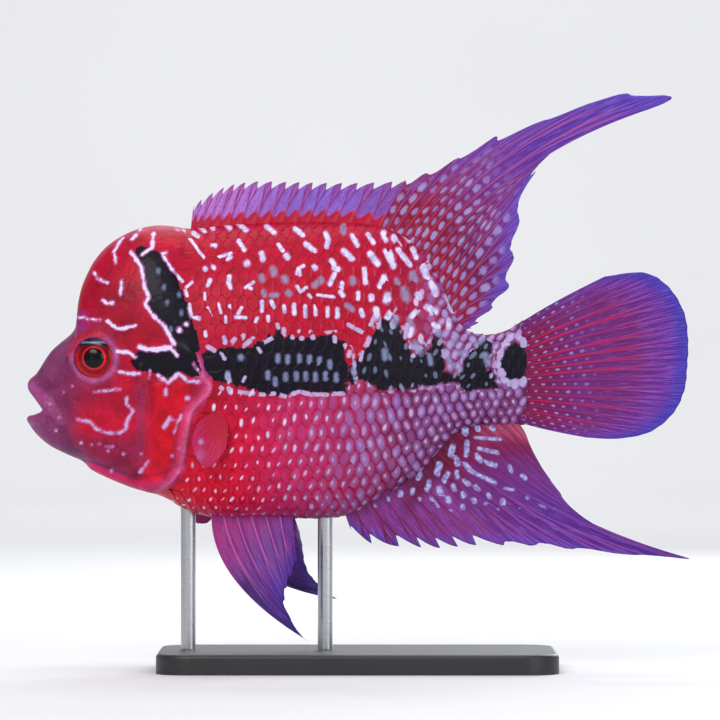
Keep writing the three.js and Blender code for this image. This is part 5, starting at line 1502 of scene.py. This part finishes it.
def make_eye(name, side, material):
    """A ball with a dished iris, its front turned outwards."""
    centre, across, outwards, up = eye_frame(side)
    tilt = np.linspace(0.001, math.pi / 2 + 0.5, EYE_ROWS)
    radial, lift = EYE_RADIUS * np.sin(tilt), EYE_DEPTH_RADIUS * np.cos(tilt)
    lift = lift - 0.5 * smoothstep(radial, 3.8, 4.6) * smoothstep(radial, 7.2, 5.5) * (tilt < 1.5)
    outer = radial[None, :, None] * circle(across, up, EYE_COLUMNS) + lift[None, :, None] * outwards
    points = (centre - EYE_SINK * outwards + outer).reshape(-1, 3)
    faces = grid_faces(EYE_COLUMNS, EYE_ROWS, closed=True)[:, ::-side]
    caps = [[k * EYE_ROWS + row for k in range(EYE_COLUMNS)] for row in (0, EYE_ROWS - 1)]
    piece = mesh_piece(name + "_ball", points, [*faces.tolist(), *caps], material, replaces=[name],
                       slot="eye")
    turn = np.linspace(0, 2 * math.pi, EYE_COLUMNS, endpoint=False)
    flat_x = np.outer(np.cos(turn), radial).ravel() - PUPIL_SHIFT
    flat_z = np.outer(np.sin(turn), radial).ravel()
    reach = np.where(np.tile(tilt, EYE_COLUMNS) < SEEN_TILT, np.hypot(flat_x, flat_z) / IRIS_RADIUS, 1.2)
    give(piece, "iris", np.stack([reach, np.repeat(turn, EYE_ROWS), flat_z / IRIS_RADIUS], 1))


# Stand

BASE_CORNER, BASE_ROUND = 14.0, 1.6
CORNER_POINTS, ROUND_POINTS = 12, 6


def stand_materials():
    base = Shader("stand_black", Coat_Weight=0.15, Coat_Roughness=0.4)
    grain = base.noise(900.0, 4.0, 0.65)
    base.rough(grain, 0.34, 0.56)
    base.bump(grain, 0.15, 0.0002)
    black = base.colour(base.mix(base.noise(60.0, 3.0), srgb(24, 24, 27), srgb(34, 34, 38)))
    rod = Shader("stand_steel", Metallic=1.0)
    stretched = rod.node("Mapping", {"Vector": rod.place(), "Scale": (60.0, 60.0, 4000.0)})
    brushed = rod.noise(1.0, 3.0, place=stretched)
    rod.rough(brushed, 0.2, 0.4)
    rod.bump(brushed, 0.08, 0.0001)
    return black, rod.colour(rod.mix(brushed, srgb(176, 178, 184), srgb(206, 207, 210)))


def make_base(material):
    """The stand's base with rounded corners and a small round on its upper edge."""
    low, high = (np.array(corner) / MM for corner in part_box("stand_base"))
    straight = high[2] - BASE_ROUND
    rings = [(0.0, 0.0), (straight, 0.0)]
    rings += [(straight + BASE_ROUND * math.sin(a), BASE_ROUND * (1 - math.cos(a)))
              for a in np.linspace(0.26, math.pi / 2, ROUND_POINTS)]
    outline = []
    corners = [(high[0], high[1]), (low[0], high[1]), (low[0], low[1]), (high[0], low[1])]
    for quarter, (x, y) in enumerate(corners):
        middle = (x - math.copysign(BASE_CORNER, x), y - math.copysign(BASE_CORNER, y))
        turns = np.linspace(quarter * math.pi / 2, (quarter + 1) * math.pi / 2, CORNER_POINTS)
        outline += [(*middle, math.cos(a), math.sin(a)) for a in turns]
    points = [(x + (BASE_CORNER - inset) * c, y + (BASE_CORNER - inset) * s, z)
              for z, inset in rings for x, y, c, s in outline]
    faces = ring_faces(len(rings), len(outline)) + end_caps(len(rings), len(outline))
    mesh_piece("display_base", points, faces, material, smooth=False, replaces=["stand_base"],
               slot="stand_base")


def dress_rods(material):
    for name in ("stand_rod_front", "stand_rod_rear"):
        rod = next(obj for obj in bpy.data.objects if obj.name == name)
        rod.data.materials.clear()
        rod.data.materials.append(material)
        rod.data.polygons.foreach_set("use_smooth", [False] * len(rod.data.polygons))


# Stage

VIEW_CENTRE = (1.0, 124.4)
VIEW_WIDTH = 288.0
CAMERA_AWAY = 2200.0
NEAR_PLANE = 10.0
SENSOR_WIDTH = 36.0
FLOOR_FRONT, FLOOR_REAR, FLOOR_HALF_WIDTH = -4000, 2500, 4500
SWEEP_RADIUS, BACKDROP_HEIGHT = 900, 4800
SKY_COLOUR, SKY_STRENGTH = (0.86, 0.88, 0.92, 1), 0.38
# Each light's name, place and aim in metres, size, power and colour.
LIGHTS = (
    ("key", (-0.55, -1.25, 0.95), (0, 0, 0.12), 0.7, 13.5, (1, 0.99, 0.98)),
    ("fill", (0.95, -1.1, 0.45), (0, 0, 0.12), 0.8, 6.0, (0.95, 0.97, 1)),
    ("top", (0.0, 0.1, 1.3), (0, 0, 0.12), 0.9, 8.0, (1, 1, 1)),
    ("back", (0.5, 1.0, 0.6), (0, 0, 0.12), 0.6, 7.0, (0.9, 0.94, 1)),
    ("backdrop", (0.0, 2.0, 2.4), (0, 3.2, 0.2), 1.6, 47.0, (1, 1, 1)),
)


def make_floor():
    """A floor that sweeps up into a backdrop behind the fish."""
    profile = [(FLOOR_FRONT, 0), (FLOOR_REAR, 0)]
    profile += [(FLOOR_REAR + SWEEP_RADIUS * math.sin(a), SWEEP_RADIUS * (1 - math.cos(a)))
                for a in np.linspace(0.15, math.pi / 2, 12)]
    profile += [(FLOOR_REAR + SWEEP_RADIUS, BACKDROP_HEIGHT)]
    points = [(x, y, z) for x in (-FLOOR_HALF_WIDTH, FLOOR_HALF_WIDTH) for y, z in profile]
    count = len(profile)
    faces = [[k, k + 1, count + k + 1, count + k] for k in range(count - 1)]
    look = Shader("studio_paper", Roughness=0.85)
    paper = look.colour(look.mix(look.noise(3.0, 2.0), srgb(214, 214, 216), srgb(220, 220, 222)))
    mesh_piece("studio_floor", points, faces, paper, slot=None)


def make_stage():
    scene = bpy.context.scene
    make_floor()
    world = bpy.data.worlds.new("studio")
    scene.world = world
    world.use_nodes = True
    sky = world.node_tree.nodes["Background"].inputs
    sky["Color"].default_value, sky["Strength"].default_value = SKY_COLOUR, SKY_STRENGTH
    for name, place, target, size, power, colour in LIGHTS:
        light = bpy.data.lights.new(name, "AREA")
        light.size, light.energy, light.color = size, power, colour
        lamp = bpy.data.objects.new(name, light)
        scene.collection.objects.link(lamp)
        lamp.location = place
        aim_x, aim_y, aim_z = np.subtract(target, place)
        lamp.rotation_euler = (math.atan2(math.hypot(aim_x, aim_y), -aim_z), 0, math.atan2(-aim_x, aim_y))
    camera = bpy.data.cameras.new("view")
    camera.sensor_width = SENSOR_WIDTH
    camera.lens = SENSOR_WIDTH * (CAMERA_AWAY - NEAR_PLANE) / VIEW_WIDTH
    camera.clip_end = 20
    eye = bpy.data.objects.new("view", camera)
    scene.collection.objects.link(eye)
    eye.location = (VIEW_CENTRE[0] * MM, -CAMERA_AWAY * MM, VIEW_CENTRE[1] * MM)
    eye.rotation_euler = (math.pi / 2, 0, 0)
    scene.camera = eye
    scene.view_settings.view_transform = "Standard"


make_stage()
make_skin()
scale_look = scale_material()
for side in (-1, 1):
    make_scales(side, scale_look)
FIN_LOOKS = {
    "dorsal": fin_material("dorsal_membrane", line=0.06, pearl_length=2.3, pearl_width=0.29, period=5.9,
                           streak_width=0.4),
    "caudal": fin_material("caudal_membrane", line=0.05, pearl_length=0.9, pearl_width=0.18, period=4.6,
                           streak_width=0.2),
    "anal": fin_material("anal_membrane", line=0.07, pearl_length=1.8, pearl_width=0.24, period=5.6,
                         streak_width=0.5),
    "pelvic": fin_material("pelvic_membrane", line=0.08, pearl_length=2.0, pearl_width=0.3, period=6.0,
                           streak_width=0.4),
    "pectoral": fin_material("pectoral_membrane", line=0.1, pearl_length=2.0, pearl_width=0.3, period=6.0,
                             streak_width=0.4),
}
for name, settings in FINS.items():
    make_fin(name, FIN_LOOKS[name.split("_")[0]], **settings)
eye_look = eye_material()
make_eye("eye_left", -1, eye_look)
make_eye("eye_right", 1, eye_look)
black, steel = stand_materials()
make_base(black)
dress_rods(steel)
